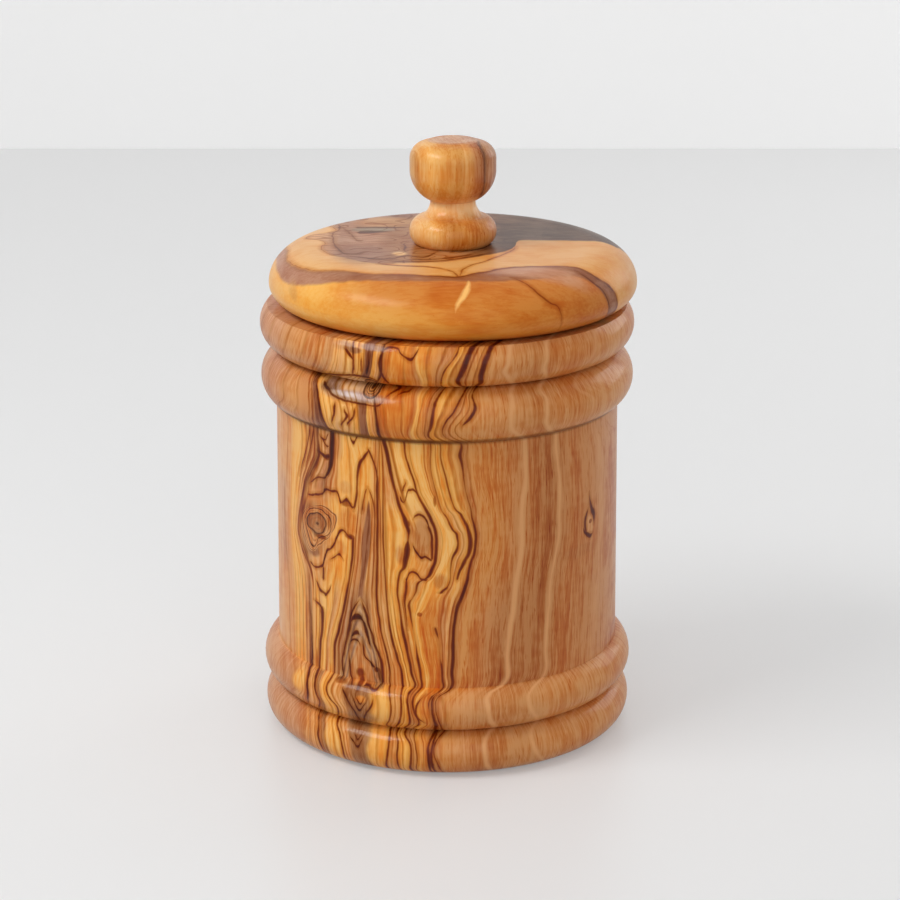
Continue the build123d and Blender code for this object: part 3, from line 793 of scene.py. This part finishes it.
def stepped_ramp(value, stops):
    """A ramp of any number of grey stops, made of ramps of up to 30."""
    parts = [stops[start:start + 30] for start in range(0, len(stops), 30)]
    pieces = []
    for part in parts:
        pieces.append(ramp(value, [(part[0][0] - 0.4, 0.0)] + part + [(part[-1][0] + 0.4, 0.0)]))
    return strongest(pieces)


def polar(across, height, centre):
    """Degrees round from the right, and distance, from a centre."""
    off_across, off_height = across - centre[0], height - centre[1]
    angle = off_height.math("ARCTAN2", off_across) * math.degrees(1)
    return angle, (off_across * off_across + off_height * off_height) ** 0.5


def with_ends(points):
    """(place, half width) points of a free line, with its ends closed off."""
    points = sorted(points)
    return [(points[0][0] - 0.8, -1.5)] + points + [(points[-1][0] + 0.8, -1.5)]


def turned(points):
    """Points with their first two values changed over."""
    return [(second, first, *rest) for first, second, *rest in points]


def inside_line(along, across, points):
    """How far inside a line a point lies, through (along, across, half width) points."""
    middle = curve(along, [(place, off) for place, off, _ in points])
    half_width = curve(along, with_ends([(place, half) for place, _, half in points]), "VECTOR")
    return half_width - (across - middle).size()


def zones(z, *tones):
    """Blends the tones of foot, low wall, middle, high wall and collar."""
    foot, low, middle, high, collar = tones
    wall = blend(step(z, 40.0, 48.0), low, middle)
    wall = blend(step(z, 63.0, 69.0), wall, high)
    return blend(step(z, *collar_start), blend(step(z, *foot_end), foot, wall), collar)


def layers(depth, height):
    """The layer number, and then the depth of each guide."""
    depths = guide_depths(height)
    return [layer_number(depth, depths), *depths.values()]


def layer_tones(number, z, wobble):
    """Tones of the layers, left and right of the dark boundary."""
    left = zones(z, *[ramp(number, tones) for tones in tones_left])
    on_high = step(z + wobble * 3.0, 38.0, 54.0)
    right = blend(on_high, ramp(number, tones_right_low), ramp(number, tones_right_high))
    return [blend(step(number, 49.6, 50.3), left, right)]


def patches_drawn(colour, number, across, height, z, front):
    """Patches of stain, painted highlight and painted shade, and the streak above the torn knot."""
    streak_width = curve(z, [
        (40, 0.7), (44, 1.0), (50, 1.3), (56, 1.9), (60, 1.7), (64, 1.1), (67, 0.2), (68, -1)])
    streak = line((number - guides["streak"][0]).size(), streak_width, 0.6) * step(z, 39.0, 43.0)
    colour = blend(streak * front * 0.9, colour, purple_brown)
    for tint, centre, reach, share in stains_and_painted_light:
        colour = blend(patch(across, height, centre, reach) * front * share, colour, tint)
    return [colour]


def left_knot_drawn(colour, across, height, wobble, front):
    """The knot on the left, ring by ring."""
    angle, reach = polar(across, height, left_knot)
    rings = [curve(angle, ring) for ring in left_knot_rings]
    ring_number = (reach / rings[0]).at_most(1.0)
    ring_number = ring_number + ((reach - rings[0]) / (rings[1] - rings[0])).clamped()
    ring_number = ring_number + ((reach - rings[1]) / (rings[2] - rings[1])).at_least(0.0)
    knot_tones = ramp(ring_number + wobble * 0.04, [
        (0.0, dark_ink), (0.1, dark_ink), (0.2, grey_brown), (0.42, deep_brown), (0.62, grey_brown),
        (0.7, deep_brown), (0.92, grey_brown), (0.99, dark_ink), (1.07, dark_ink), (1.17, grey_brown),
        (1.42, tan), (1.58, deep_brown), (1.7, tan), (1.86, brown), (1.94, dark_ink), (2.04, dark_ink),
        (2.14, brown), (2.4, brown), (2.6, deep_brown), (2.72, tan), (2.9, brown), (2.97, dark_ink),
        (3.06, purple_brown), (3.2, tan)])
    return [blend(step(ring_number, 3.1, 3.5, 1.0, 0.0) * front * 0.92, colour, knot_tones)]


def eye_drawn(colour, across, height, wobble, front):
    """The small knot in the groove between the collar beads."""
    _, eye_reach = polar(across, (height - eye[1]) / 1.08, (eye[0], 0.0))
    eye_tones = ramp(eye_reach + wobble * 0.12, [
        (0, dark_ink), (.3, dark_ink), (.45, grey_brown), (.6, tan), (.76, dark_ink), (.92, grey_brown),
        (1.1, tan), (1.26, dark_ink), (1.42, pink_tan), (1.7, grey_brown), (1.88, dark_ink),
        (2.08, dark_ink), (2.3, pink_tan)])
    return [blend(step(eye_reach, 2.1, 2.5, 1.0, 0.0) * front * 0.9, colour, eye_tones)]


def torn_knot_drawn(colour, across, z, wobble, front):
    """Nested peaks round the torn knot at the foot."""
    from_centre = across - curve(z, [(0, -20.2), (8, -20.8), (22, -21.3), (30, -21.4), (42, -21.5)])
    peak = z + (from_centre.size() / 0.75 + 0.02) ** 1.43 + wobble * 1.2
    peak_tones = ramp(peak, [
        (20, brown), (23, srgb(222, 142, 66)), (27, srgb(208, 142, 86)), (30, srgb(214, 150, 92)),
        (31, brown), (32, srgb(206, 150, 100)), (33.4, srgb(160, 118, 92)), (35, srgb(206, 152, 104)),
        (36.6, srgb(196, 140, 94)), (38, srgb(140, 98, 76)), (39, srgb(176, 132, 100)),
        (40, srgb(208, 158, 110)), (41, srgb(172, 120, 80)), (41.8, srgb(214, 158, 104)),
        (43.4, srgb(190, 132, 84))])
    inside_peak = step(peak, 42.8, 43.4, 1.0, 0.0) * step(z, 20.8, 21.6)
    return [blend(inside_peak * front * 0.95, colour, peak_tones), inside_peak]


def thin_line_strength(number, z):
    """How strongly a thin line shows at a layer number and height."""
    return [zones(z, *[stepped_ramp(number, thin_lines(lines)) for lines in thin_left])]


def inside_guide_lines(z, *off_guides):
    """How far inside a dark line on a guide a point lies, from how far it is off each of them."""
    lines = zip(dark_on_guides.values(), off_guides)
    return [strongest([curve(z, widths, "VECTOR") - off for widths, off in lines])]


def inside_free_lines(across, height):
    """How far inside a free dark line a point lies."""
    upright = [inside_line(height, across, turned(points)) for points in dark_upright]
    return [strongest(upright + [inside_line(across, height, points) for points in dark_level])]


def dark_spots(across, height):
    """Dark spots where lines meet, and the torn knot's hollows."""
    return [strongest([patch(across, height, centre, reach) * share for centre, reach, share in [
        ((-25.2, 65.2), (1.5, 0.8), .75), ((-24.3, 57.2), (1.3, 0.6), .9), ((-33.5, 55.2), (1.7, 0.6), 1),
        ((-33.4, 36.7), (0.7, 0.9), .7), ((-21.5, 23.8), (1.05, 1.1), 1), ((-21, 21.8), (0.6, 1.7), .95),
        ((-17, 25.2), (0.75, 0.6), 1), ((-16.2, 24), (0.5, 1.4), .7), ((-26.3, 21.2), (1.5, 0.6), .8),
        ((-9.4, 62.2), (0.6, 0.9), .95), ((-2.9, 68.1), (0.35, 1.2), .7), ((-6.5, 40.2), (0.6, 0.5), .7),
        ((-31.2, 75.4), (1.3, 0.7), .8), ((-30.7, 59.5), (0.4, 1.8), .5), ((40.4, 57.4), (0.6, 0.5), 1),
        ((-35.4, 24), (0.4, 2.5), .5),
    ]])]


def jar_grain(x, y, z, number, radius, outside, on_bead, on_right):
    """Fibres, all finer figure of the grain together, and its flow along the layers."""
    straight = ((radius.at_least(1.0) / front_radius) ** -1.0 - 1.0) * outside + 1.0
    even_x, even_y = x * straight, y * straight
    fibres = noise(vector(even_x * 1.8, even_y * 1.8, z / 10.0), detail=3.0, roughness=0.6)
    bands = noise(vector(number * 0.45, z / 45.0, 8.0), detail=1.0)
    flow = noise(vector(number * 1.1, z / 14.0, 5.0), detail=3.0, roughness=0.65)
    hair = step(noise(vector(number * 1.5, z / 24.0, 11.0), detail=1.0).size(), 0.02, 0.14, 1.0, 0.0)
    figure = noise(vector(x / 4.0, y / 4.0, z / 2.0 + 60.0), detail=1.0)
    pores = step(noise(vector(even_x * 3.6, even_y * 3.6, z / 3.2 + 90.0), detail=1.0), 0.22, 0.55)
    calm = line((number - 41.4).size(), 1.8, 1.4) * line((z - 89.0).size(), 4.5, 1.5)
    layered = (0.4 + step(number, 5.0, 9.0) * (0.9 - on_right * 0.7)) * (1.0 - calm * 0.75)
    smooth_bead = 1.0 - on_bead * (on_right * 0.3 + 0.3)
    along_layers = (flow * layered + hair * 0.2 + bands * on_right * 0.5) * smooth_bead
    grain = fibres * (on_right * 0.15 + 0.5) + along_layers + figure * 0.2 + pores * (on_right * 0.4 + 0.15)
    return fibres, grain, flow


def jar_lines(across, height, z, front, inside_peak, number, depth, depths, rough, flow):
    """How much dark matter is soaked into the wood by its thin lines, its band and its dark lines."""
    out_of_knots = 1.0 - patch(across, height, *left_knot_oval, 0.1) * front
    thin, = in_group("jar thin lines", thin_line_strength, number, z)
    shown = out_of_knots * (1.0 - inside_peak * front) * (1.15 + rough * 0.8)
    thin = (thin * shown).clamped()
    band = line((depth - depths["band"]).size(), curve(z, band_widths, "VECTOR") + rough * 0.3, 0.4)
    on_guide = [(depth - depths[name]).size() for name in dark_on_guides]
    inside, = in_group("jar guide lines", inside_guide_lines, z, *on_guide)
    inside = inside - inside_peak * front * 3.0
    free, = in_group("jar free lines", inside_free_lines, across, height)
    inside = inside.at_least(free - (1.0 - front) * 5.0) + rough * 0.15
    spots, = in_group("jar dark spots", dark_spots, across, height)
    ink = ((inside + 0.06) / 0.26).clamped().at_least(spots * front)
    halo = ((inside + 0.8) / 0.8 * 0.25).clamped() + (inside / 0.5 * 0.5).clamped()
    return strongest([thin * 0.7, band * (0.6 + flow * 1.5), ink * (0.8 + rough * 0.5)]) + halo


def jar_streaks_and_groove_shade(colour, z, outside, on_right, depth, depths, rough):
    """Light streaks on the right, and painted shade along each turned groove and just under the lid."""
    light = strongest([line((depth - depths[name]).size(), half_width + rough * 0.25, 0.6) * share
                       for name, half_width, share in light_streaks])
    colour = blend(light, colour, light_streak)
    # painted shade along each groove and under the lid
    groove = strongest([line((z - place).size(), half_width, fade) * (on_right * more + share)
                        for place, half_width, fade, share, more in groove_shade])
    return blend(groove * outside, colour, groove_shade_brown)


def jar_wood():
    """The jar's wood: upright grain with knots, pale and lined left of the middle, brown on the right."""
    material, tree, shader = new_material("jar_wood")
    x, y, z = place_in_mm(tree)
    far_side = step(y, 0.0, 30.0)
    radius = (x * x + y * y) ** 0.5
    outside = step(radius, *outside_start)
    front = step(y, -6.0, 2.0, 1.0, 0.0) * outside
    around = x.math("ARCTAN2", y * -1.0) * front_radius
    wobble = noise(vector(x / 2.2, y / 2.2, z / 3.0), detail=2.0)
    wobble_up = noise(vector(x / 2.5, y / 2.5, z / 2.5 + 40.0), detail=2.0)
    across = around + wobble * 0.22
    height = z + wobble_up * 0.3

    guide_height = z + (45.0 - z) * far_side * 0.8
    depth = depth_in_block(x, y, z)
    number, *levels = in_group("jar layers", layers, depth, guide_height)
    depths = dict(zip(guides, levels))
    on_right = step(number, 48.0, 56.0)

    colour, = in_group("jar tones", layer_tones, number, z, wobble)
    on_bead = step(z, *foot_end, 1.0, 0.0).at_least(step(z, *collar_start)) * outside
    colour = blend(on_bead * step(number, 53.0, 60.0) * 0.35, colour, tan)
    on_rim_bead = step(z, 95.5, 97.0) * outside
    colour = blend(on_rim_bead * near(number, 42.0, 2.8) * 0.6, colour, rim_orange)

    colour, = in_group("jar stains", patches_drawn, colour, number, across, height, z, front)
    colour, = in_group("jar left knot", left_knot_drawn, colour, across, height, wobble, front)
    colour, = in_group("jar eye", eye_drawn, colour, across, height, wobble, front)
    colour, inside_peak = in_group("jar torn knot", torn_knot_drawn, colour, across, z, wobble, front)

    fibres, grain, flow = jar_grain(x, y, z, number, radius, outside, on_bead, on_right)
    slow = noise(vector(x / 14.0, y / 14.0, z / 26.0 + 3.0), detail=2.0)
    colour = darkened(colour, grain + slow * 0.5)
    rough = noise(vector(x / 1.4, y / 1.4, z / 9.0 + 7.0), detail=2.0)
    soaked = jar_lines(across, height, z, front, inside_peak, number, depth, depths, rough, flow)
    colour = jar_streaks_and_groove_shade(lined(colour, soaked), z, outside, on_right, depth, depths, rough)
    finish(shader, colour, 0.42 + grain * 0.08, fibres, relief=0.25, coat=0.3)
    return material


# The lid's rounded edge, as (height, way to it over the surface from the lid's axis)
lid_edge = [
    (119.6, 33.2), (119.3, 36.0), (118.7, 38.0), (117.6, 40.1), (115.8, 42.5), (113.6, 45.0),
    (110.7, 48.0), (108.6, 50.2), (106.6, 53.0), (105.5, 56.0), (105.3, 58.0),
]

# The lid's top and edge laid out flat, as (right, back) from its axis: both edges of the brown band,
# and the heart's edges on the left and at the front
band_inside = [
    (-44, 26), (-41.5, 12), (-39.5, 0), (-38.8, -10), (-36.2, -17), (-31.5, -23), (-25, -27), (-17, -31),
    (-10, -32.6), (-3, -34), (1.2, -34.4), (4.4, -32), (8.7, -29), (10.9, -26.9), (16.6, -24.8),
    (23, -24.3), (28.7, -23.4), (33.7, -24.2), (38, -23.6), (44, -24.4), (50, -25),
]
band_outside = [
    (-47, 26), (-44.5, 12), (-42.6, 0), (-42, -10), (-40, -18), (-36, -24), (-30, -28.5), (-20, -33),
    (-10, -35.8), (0, -36.5), (8, -36.2), (14, -34.8), (20, -32.3), (26, -28.5), (31, -26.8), (36, -27.2),
    (40, -28.2), (46, -29), (52, -30),
]
heart_left = [
    (-30.6, 36), (-30.6, 25.7), (-29.9, 19.3), (-28.8, 13.6), (-30.6, 11), (-34.1, 9.3), (-35.2, 6.8),
    (-34.1, 4.3), (-32, 2.9), (-30.6, 0), (-31.3, -4.3), (-30.6, -8.6), (-28.4, -12.9), (-25.6, -15.4),
]
heart_front = [
    (-32, -9), (-28, -13.5), (-25, -16.5), (-21, -20), (-17, -22), (-12, -21.6), (-7, -21.2), (-2, -20.2),
    (2, -17.8), (6, -14.8), (9.4, -12), (12.5, -9), (14.6, -5), (15.2, 0), (16, 2.2), (20, 2.4),
    (30, 1.9), (40, 1.2), (50, 0),
]

# Lines of the lid as (right, back, half width): those that run to the back, a light dash on the
# front edge, and those that run across
lid_lines_up = [
    [(-32.4, 38.6, -.1), (-35.6, 33, .3), (-34.5, 29.3, .25), (-35.9, 23.6, .25), (-37, 19, -.1)],
    [(-28, 34, -.1), (-28.2, 31.4, .25), (-29.1, 25.7, .3), (-27.7, 16.4, .3), (-29.1, 10, .25),
     (-28.8, 4.3, .3), (-28.4, -1.4, .3), (-27.4, -5.7, .35), (-25.9, -10.5, .3), (-24.5, -13, -.1)],
    [(-27.2, 18, -.1), (-26.6, 15.5, .2), (-24.5, 8.6, .25), (-23.4, 3.6, .25), (-21.8, .5, -.1)],
    [(-11, 1, -.1), (-11.6, -1.5, .25), (-11.2, -5, .4), (-11.6, -8, .35), (-11, -10, -.1)],
    [(1.2, -34.5, .3), (.6, -32, .35), (-.8, -28.5, .3), (-1.6, -27, -.1)],
    [(1.4, -34.5, .2), (1.9, -30, .3), (2.6, -26.5, .3), (4.4, -23.2, .32), (7.3, -19.6, .35),
     (9.4, -16.4, .35), (12.3, -11.2, .35), (14.4, -7, .3), (15, -3, -.1)],
]
light_dash = [
    (2.9, -35.4, -.5), (3.4, -37, .5), (3.2, -39.5, 1.1), (2.3, -41.5, 1.1), (1, -43.5, .7),
    (.2, -46.2, -.2),
]
lid_lines_across = [
    [(-27, -14, -.1), (-22, -15, .45), (-18, -17, .54), (-14, -16.5, .45), (-11, -13.5, .54),
     (-8, -15, .54), (-6, -14.5, .72), (-4.6, -11.5, .81), (-3.8, -9.5, -.1)],
    [(-16, -18.5, -.1), (-13, -19.4, .45), (-7.7, -19.7, .54), (-2, -18.4, .5), (2.3, -15.8, .54),
     (6.6, -12.6, .54), (8.6, -10.6, -.1)],
    [(-14, -21, -.1), (-10, -17.8, .36), (-5, -17.2, .45), (0, -15.4, .45), (4, -12.6, .45),
     (6.6, -10, -.1)],
    [(-18, -22, -.1), (-15.5, -22.6, .54), (-12, -23.7, .5), (-7.7, -24.4, .54), (-3.6, -26, .54),
     (-1, -28.2, -.1)],
    [(-24, 17.4, -.1), (-23.4, 17, .72), (-18, 17, .63), (-12, 16.8, .45), (-11, 16.6, -.1)],
    [(-23.6, 11.4, -.1), (-22.6, 11.4, 1.44), (-20, 11.6, 1.62), (-18, 12, .9), (-15, 12.4, -.1)],
    [(13, -33.6, -.1), (15.1, -34.7, .24), (18, -36.4, .28), (20.4, -37.6, .4), (22.5, -38.2, .36),
     (24.8, -38.2, .24), (28, -41, .12), (29.5, -43, -.1)],
    [(28, -25, -.1), (30.5, -26.2, .35), (36, -26.8, .35), (41, -28.3, .25), (44, -30, -.1)],
    [(29, -23.6, -.1), (33.5, -24.3, .35), (38, -23.7, .4), (43, -24.6, .3), (46, -26, -.1)],
]


def round_front(points):
    """(right, back) points as (degrees round from the front, distance from the axis)."""
    return [(math.degrees(math.atan2(right, -back)), math.hypot(right, back)) for right, back in points]


def rim_tones(turn, reach):
    """Gold and orange of the lid's edge, by degrees round from the front."""
    rim = ramp(turn, [
        (-180, tan), (-120, tan), (-95, gold), (-68, srgb(240, 176, 94)), (-50, srgb(244, 178, 84)),
        (-36, srgb(236, 166, 78)), (-20, srgb(232, 160, 72)), (-4, srgb(222, 138, 48)),
        (15, srgb(212, 124, 42)), (32, srgb(210, 126, 50)), (54, srgb(198, 114, 46)),
        (66, srgb(226, 146, 70)), (75, srgb(240, 166, 90)), (100, gold), (125, tan), (180, tan)])
    at_front = step(turn, -48.0, -20.0) * step(turn, 50.0, 68.0, 1.0, 0.0)
    return blend(at_front * step(reach, 41.0, 48.0, 1.0, 0.0) * 0.85, rim, srgb(204, 118, 46))


def lid_tones(right, turn, reach, past_inside):
    """Pale wood of the lid, its brown band and its edge."""
    inside = blend(step(right, -34.0, 6.0), srgb(232, 172, 104), srgb(230, 164, 92))
    band = ramp(right, [
        (-44, srgb(186, 132, 104)), (-25, srgb(170, 116, 84)), (0, srgb(166, 100, 56)),
        (20, srgb(164, 100, 60)), (36, srgb(156, 98, 68))])
    past_outside = reach - curve(turn, round_front(band_outside))
    colour = blend(step(past_inside, -0.3, 0.6), inside, band)
    return blend(step(past_outside, -0.3, 0.8), colour, rim_tones(turn, reach))


def heart_place(right, back, reach, wobble):
    """1 in the lid's brown heart, and 0 outside it."""
    on_heart = step(right - curve(back, turned(heart_left)), -0.2, 0.8)
    behind_front = back - curve(right, heart_front)
    heart_edge = reach + wobble * 1.5 - (behind_front * 0.45).at_most(5.5)
    return on_heart * step(behind_front, -0.3, 1.0) * step(heart_edge, 39.0, 40.5, 1.0, 0.0)


def heart_drawn(colour, right, back, on_heart):
    """The heart's brown and grey, and the patches in and near it."""
    heart = ramp(right, [
        (-36, tan), (-31, srgb(206, 148, 102)), (-27, srgb(176, 124, 92)), (-20, srgb(182, 126, 92)),
        (-14, srgb(172, 118, 74)), (-8, srgb(174, 116, 70)), (0, srgb(198, 130, 76)),
        (8, srgb(132, 86, 54)), (12, srgb(104, 66, 40)), (18, srgb(100, 66, 42)), (30, srgb(90, 58, 38)),
        (38, srgb(88, 56, 36)), (44, srgb(156, 114, 80))])
    colour = blend(on_heart, colour, heart)
    for tint, centre, size, share in [
        (srgb(146, 98, 76), (-21, -12), (6.5, 9.5), .6),
        (srgb(150, 132, 112), (-19.5, 14.5), (5.0, 3.0), .85),
        (srgb(150, 104, 88), (-13, 33), (5.5, 5.0), .7),
        (srgb(236, 190, 130), (-12.6, -11.4), (1.6, 1.8), .9),
        (srgb(214, 160, 104), (-17, 23), (7.0, 5.0), .6),
        (srgb(206, 148, 112), (19, -29), (11.0, 3.4), .8), (srgb(120, 76, 44), (5, -8), (8.0, 3.0), .4),
        (srgb(206, 148, 84), (-38.5, -23.5), (1.4, 3.0), .4),
    ]:
        colour = blend(patch(right, back, centre, size) * share, colour, tint)
    return colour


def lid_lines(right, back, turn, past_inside, wobble):
    """How far inside a dark line of the lid a point lies."""
    lines = [inside_line(back, right, turned(points)) for points in lid_lines_up]
    lines += [inside_line(right, back, points) for points in lid_lines_across]
    heart_line = [(place, off, 0.22 if place > -15 else -0.3) for place, off in turned(heart_left)]
    lines.append(inside_line(back, right, heart_line))
    band_edge = curve(turn, [
        (-130, 0.1), (-60, 0.12), (-30, 0.15), (-20, 0.4), (0, 0.6), (20, 0.6), (40, 0.5),
        (70, 0.4)], "VECTOR")
    lines.append(band_edge - past_inside.size())
    return strongest(lines) + wobble * 0.15


def lid_wood():
    """The lid's wood: a brown heart with wavy lines, pale wood round it and a golden edge."""
    material, tree, shader = new_material("lid_wood")
    x, y, z = place_in_mm(tree)
    from_axis = x - lid_axis
    radius = (from_axis * from_axis + y * y) ** 0.5 + 0.001
    wobble = noise(vector(x / 3.0, y / 3.0, z / 3.0), detail=2.0)
    wobble_back = noise(vector(x / 3.0, y / 3.0, z / 3.0 + 30.0), detail=2.0)
    way = radius + (curve(z, lid_edge) - radius) * step(radius, 34.0, 38.0)
    turn = from_axis.math("ARCTAN2", y * -1.0) * math.degrees(1)
    right = from_axis / radius * way + wobble * 0.5
    back = y / radius * way + wobble_back * 0.5
    reach = way + wobble * 0.5
    past_inside = reach - curve(turn, round_front(band_inside))
    on_heart = heart_place(right, back, reach, wobble)
    colour = heart_drawn(lid_tones(right, turn, reach, past_inside), right, back, on_heart)

    # Fibres, slow changes of tone and specks
    fibres = noise(vector(x / 5.0, y * 1.3, z * 1.3), detail=3.0, roughness=0.65)
    cloud = noise(vector(x / 9.0, y / 9.0, z / 5.0), detail=3.0)
    specks = step(noise(vector(x * 1.8, y * 1.8, z * 1.8), detail=1.0), 0.32, 0.6)
    grain = fibres * 0.3 + cloud * 0.5 + specks * 0.15
    colour = darkened(colour, grain)

    # Dark lines, wavy lines of the heart, and the light dash at the front
    swirl = noise(vector(right / 20.0, back / 16.0, 3.0), detail=1.5, distortion=0.4)
    wavy = step((swirl * 42.0).math("SINE"), 0.75, 0.98)
    grey_right = step(right, 9.0, 16.0)
    line_depth = lid_lines(right, back, turn, past_inside, wobble)
    ink = (line_depth / 0.4).clamped()
    halo = ((line_depth + 1.0) * 0.2).clamped()
    colour = lined(colour, ink * 0.7 + halo + wavy * on_heart * (0.35 - grey_right * 0.25))
    dash = inside_line(back, right, turned(light_dash))
    colour = blend((dash / 0.7 * 0.95).clamped(), colour, srgb(250, 190, 108))

    # Shade of the joints with the jar and the knob
    round_knob = step(radius, 8.7, 9.6, 1.0, 0.0) * step(radius, 4.5, 6.0)
    joint_shade = strongest([near(z, rim_height, 1.2) * step(radius, 33.0, 35.0),
                       round_knob * step(z, lid_top - 0.6, lid_top - 0.1)])
    colour = darkened(colour, joint_shade * 0.8)
    finish(shader, colour, 0.36 + grain * 0.1, fibres, relief=0.2, coat=0.2, coat_roughness=0.24)
    return material


def knob_wood():
    """The knob's wood: upright golden stripes, with a darker reddish one on the right."""
    material, tree, shader = new_material("knob_wood")
    x, y, z = place_in_mm(tree)
    wobble = noise(vector(x / 3.0, y / 3.0, z / 12.0), detail=2.0)
    across = x - lid_axis + (y + 9.0) * 0.3 + wobble * 0.8
    below_ball = step(z, neck_height, neck_height + 4.0, 1.0, 0.0)
    colour = ramp(across, [
        (-13, tan), (-10.3, srgb(230, 174, 112)), (-9, srgb(244, 186, 108)), (-8, srgb(212, 152, 84)),
        (-7, srgb(232, 174, 104)), (-5, srgb(242, 182, 104)), (-2.5, srgb(226, 158, 80)),
        (0, srgb(218, 150, 74)), (2, srgb(214, 144, 68)), (3, srgb(230, 168, 98)),
        (4.2, srgb(220, 154, 86)), (5.4, srgb(200, 130, 78)), (7.2, srgb(176, 106, 62)),
        (7.9, srgb(112, 62, 38)), (8.5, srgb(186, 128, 84)), (10, srgb(196, 136, 92)),
        (12, srgb(186, 124, 76)), (15, srgb(214, 152, 88)), (19, tan)])
    colour = blend(below_ball, colour, ramp(across, [
        (-13, tan), (-9, srgb(244, 190, 126)), (-4, srgb(236, 178, 104)), (0, srgb(190, 114, 42)),
        (3, srgb(208, 136, 62)), (6, srgb(208, 138, 70)), (10, srgb(204, 134, 72)), (19, tan)]))
    # painted light: a pale band round the knob's neck, where it curves in under the ball
    colour = blend(near(z, neck_height, 3.6) * 0.9, colour, srgb(250, 202, 142))
    # the flat top, paler and pinker: the wood's own tone with painted sheen
    colour = blend(step(z, knob_top - 0.3, knob_top - 0.1) * 0.7, colour, srgb(206, 154, 118))
    fibres = noise(vector(x * 1.8, y * 1.8, z / 7.0), detail=3.0, roughness=0.65)
    cloud = noise(vector(x / 5.0, y / 5.0, z / 7.0 + 9.0), detail=2.0)
    stripes = step(noise(vector(across * 0.9, z / 30.0, 4.0), detail=1.0).size(), 0.03, 0.2, 1.0, 0.0)
    pores = step(noise(vector(x * 3.4, y * 3.4, z / 1.8 + 50.0), detail=1.0), 0.32, 0.6)
    grain = fibres * 0.5 + cloud * 0.7 + stripes * 0.2 + pores * 0.6
    colour = darkened(colour, grain)
    finish(shader, colour, 0.36 + grain * 0.1, fibres, relief=0.25, coat=0.3)
    return material


def dress(node, material):
    """Gives a CAD node its finished material."""
    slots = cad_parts[node].data.materials
    slots.clear()
    slots.append(material)


def add_camera():
    """The camera, in the photograph's place."""
    data = bpy.data.cameras.new("camera")
    data.sensor_width = sensor_width
    data.lens = focal_pixels / photo_side * sensor_width
    camera = bpy.data.objects.new("camera", data)
    camera.location = (camera_offset, -camera_distance, camera_height)
    camera.rotation_euler = (math.pi / 2 - camera_pitch, 0.0, 0.0)
    bpy.context.scene.collection.objects.link(camera)
    bpy.context.scene.camera = camera


def add_area_light(name, place, size, power):
    """A soft white lamp that shines at the jar."""
    data = bpy.data.lights.new(name, "AREA")
    data.shape = "RECTANGLE"
    data.size, data.size_y = size
    data.energy = power
    lamp = bpy.data.objects.new(name, data)
    lamp.location = place
    direction = Vector(lamp_aim) - Vector(place)
    lamp.rotation_euler = direction.to_track_quat("-Z", "Y").to_euler()
    bpy.context.scene.collection.objects.link(lamp)


def add_sheet(name, corners, colour, roughness):
    """A flat plain sheet of the backdrop, seen only from its front."""
    mesh = bpy.data.meshes.new(name)
    mesh.from_pydata(corners, [], [(0, 1, 2, 3)])
    sheet = bpy.data.objects.new(name, mesh)
    bpy.context.scene.collection.objects.link(sheet)
    material, tree, shader = new_material(name)
    shader.inputs["Base Color"].default_value = (*colour, 1.0)
    shader.inputs["Roughness"].default_value = roughness
    shader.inputs["Emission Color"].default_value = (1.0, 1.0, 1.0, 1.0)
    ray = tree.nodes.new("ShaderNodeLightPath")
    kinds = ("Is Camera Ray", "Is Glossy Ray", "Is Transmission Ray")
    seen = strongest([Val(tree, ray.outputs[kind]) for kind in kinds])
    connect(seen * backdrop_lift, shader.inputs["Emission Strength"])
    behind = tree.nodes.new("ShaderNodeNewGeometry").outputs["Backfacing"]
    clear = tree.nodes.new("ShaderNodeBsdfTransparent")
    mix = tree.nodes.new("ShaderNodeMixShader")
    tree.links.new(behind, mix.inputs[0])
    tree.links.new(shader.outputs[0], mix.inputs[1])
    tree.links.new(clear.outputs[0], mix.inputs[2])
    tree.links.new(mix.outputs[0], tree.nodes["Material Output"].inputs["Surface"])
    mesh.materials.append(material)


def add_backdrop():
    """The floor, just under the jar's foot, and the wall behind it."""
    side, near_edge, far_edge, top, drop = 3.0, -3.0, 0.745, 2.5, -0.0002
    far_left, far_right = (-side, far_edge, drop), (side, far_edge, drop)
    floor_corners = [(-side, near_edge, drop), (side, near_edge, drop), far_right, far_left]
    wall_corners = [far_left, far_right, (side, far_edge, top), (-side, far_edge, top)]
    add_sheet("floor", floor_corners, srgb(200, 200, 200), 0.4)
    add_sheet("wall", wall_corners, srgb(236, 236, 236), 0.8)


def set_world():
    """Even white light from all round."""
    world = bpy.data.worlds.new("studio")
    bpy.context.scene.world = world
    world.use_nodes = True
    background = world.node_tree.nodes["Background"]
    background.inputs["Color"].default_value = (1.0, 1.0, 1.0, 1.0)
    background.inputs["Strength"].default_value = world_strength


add_camera()
set_world()
add_backdrop()
for lamp in lamps:
    add_area_light(*lamp)
dress("jar_body", jar_wood())
dress("lid", lid_wood())
dress("knob", knob_wood())

bpy.context.scene.view_settings.view_transform = "Standard"
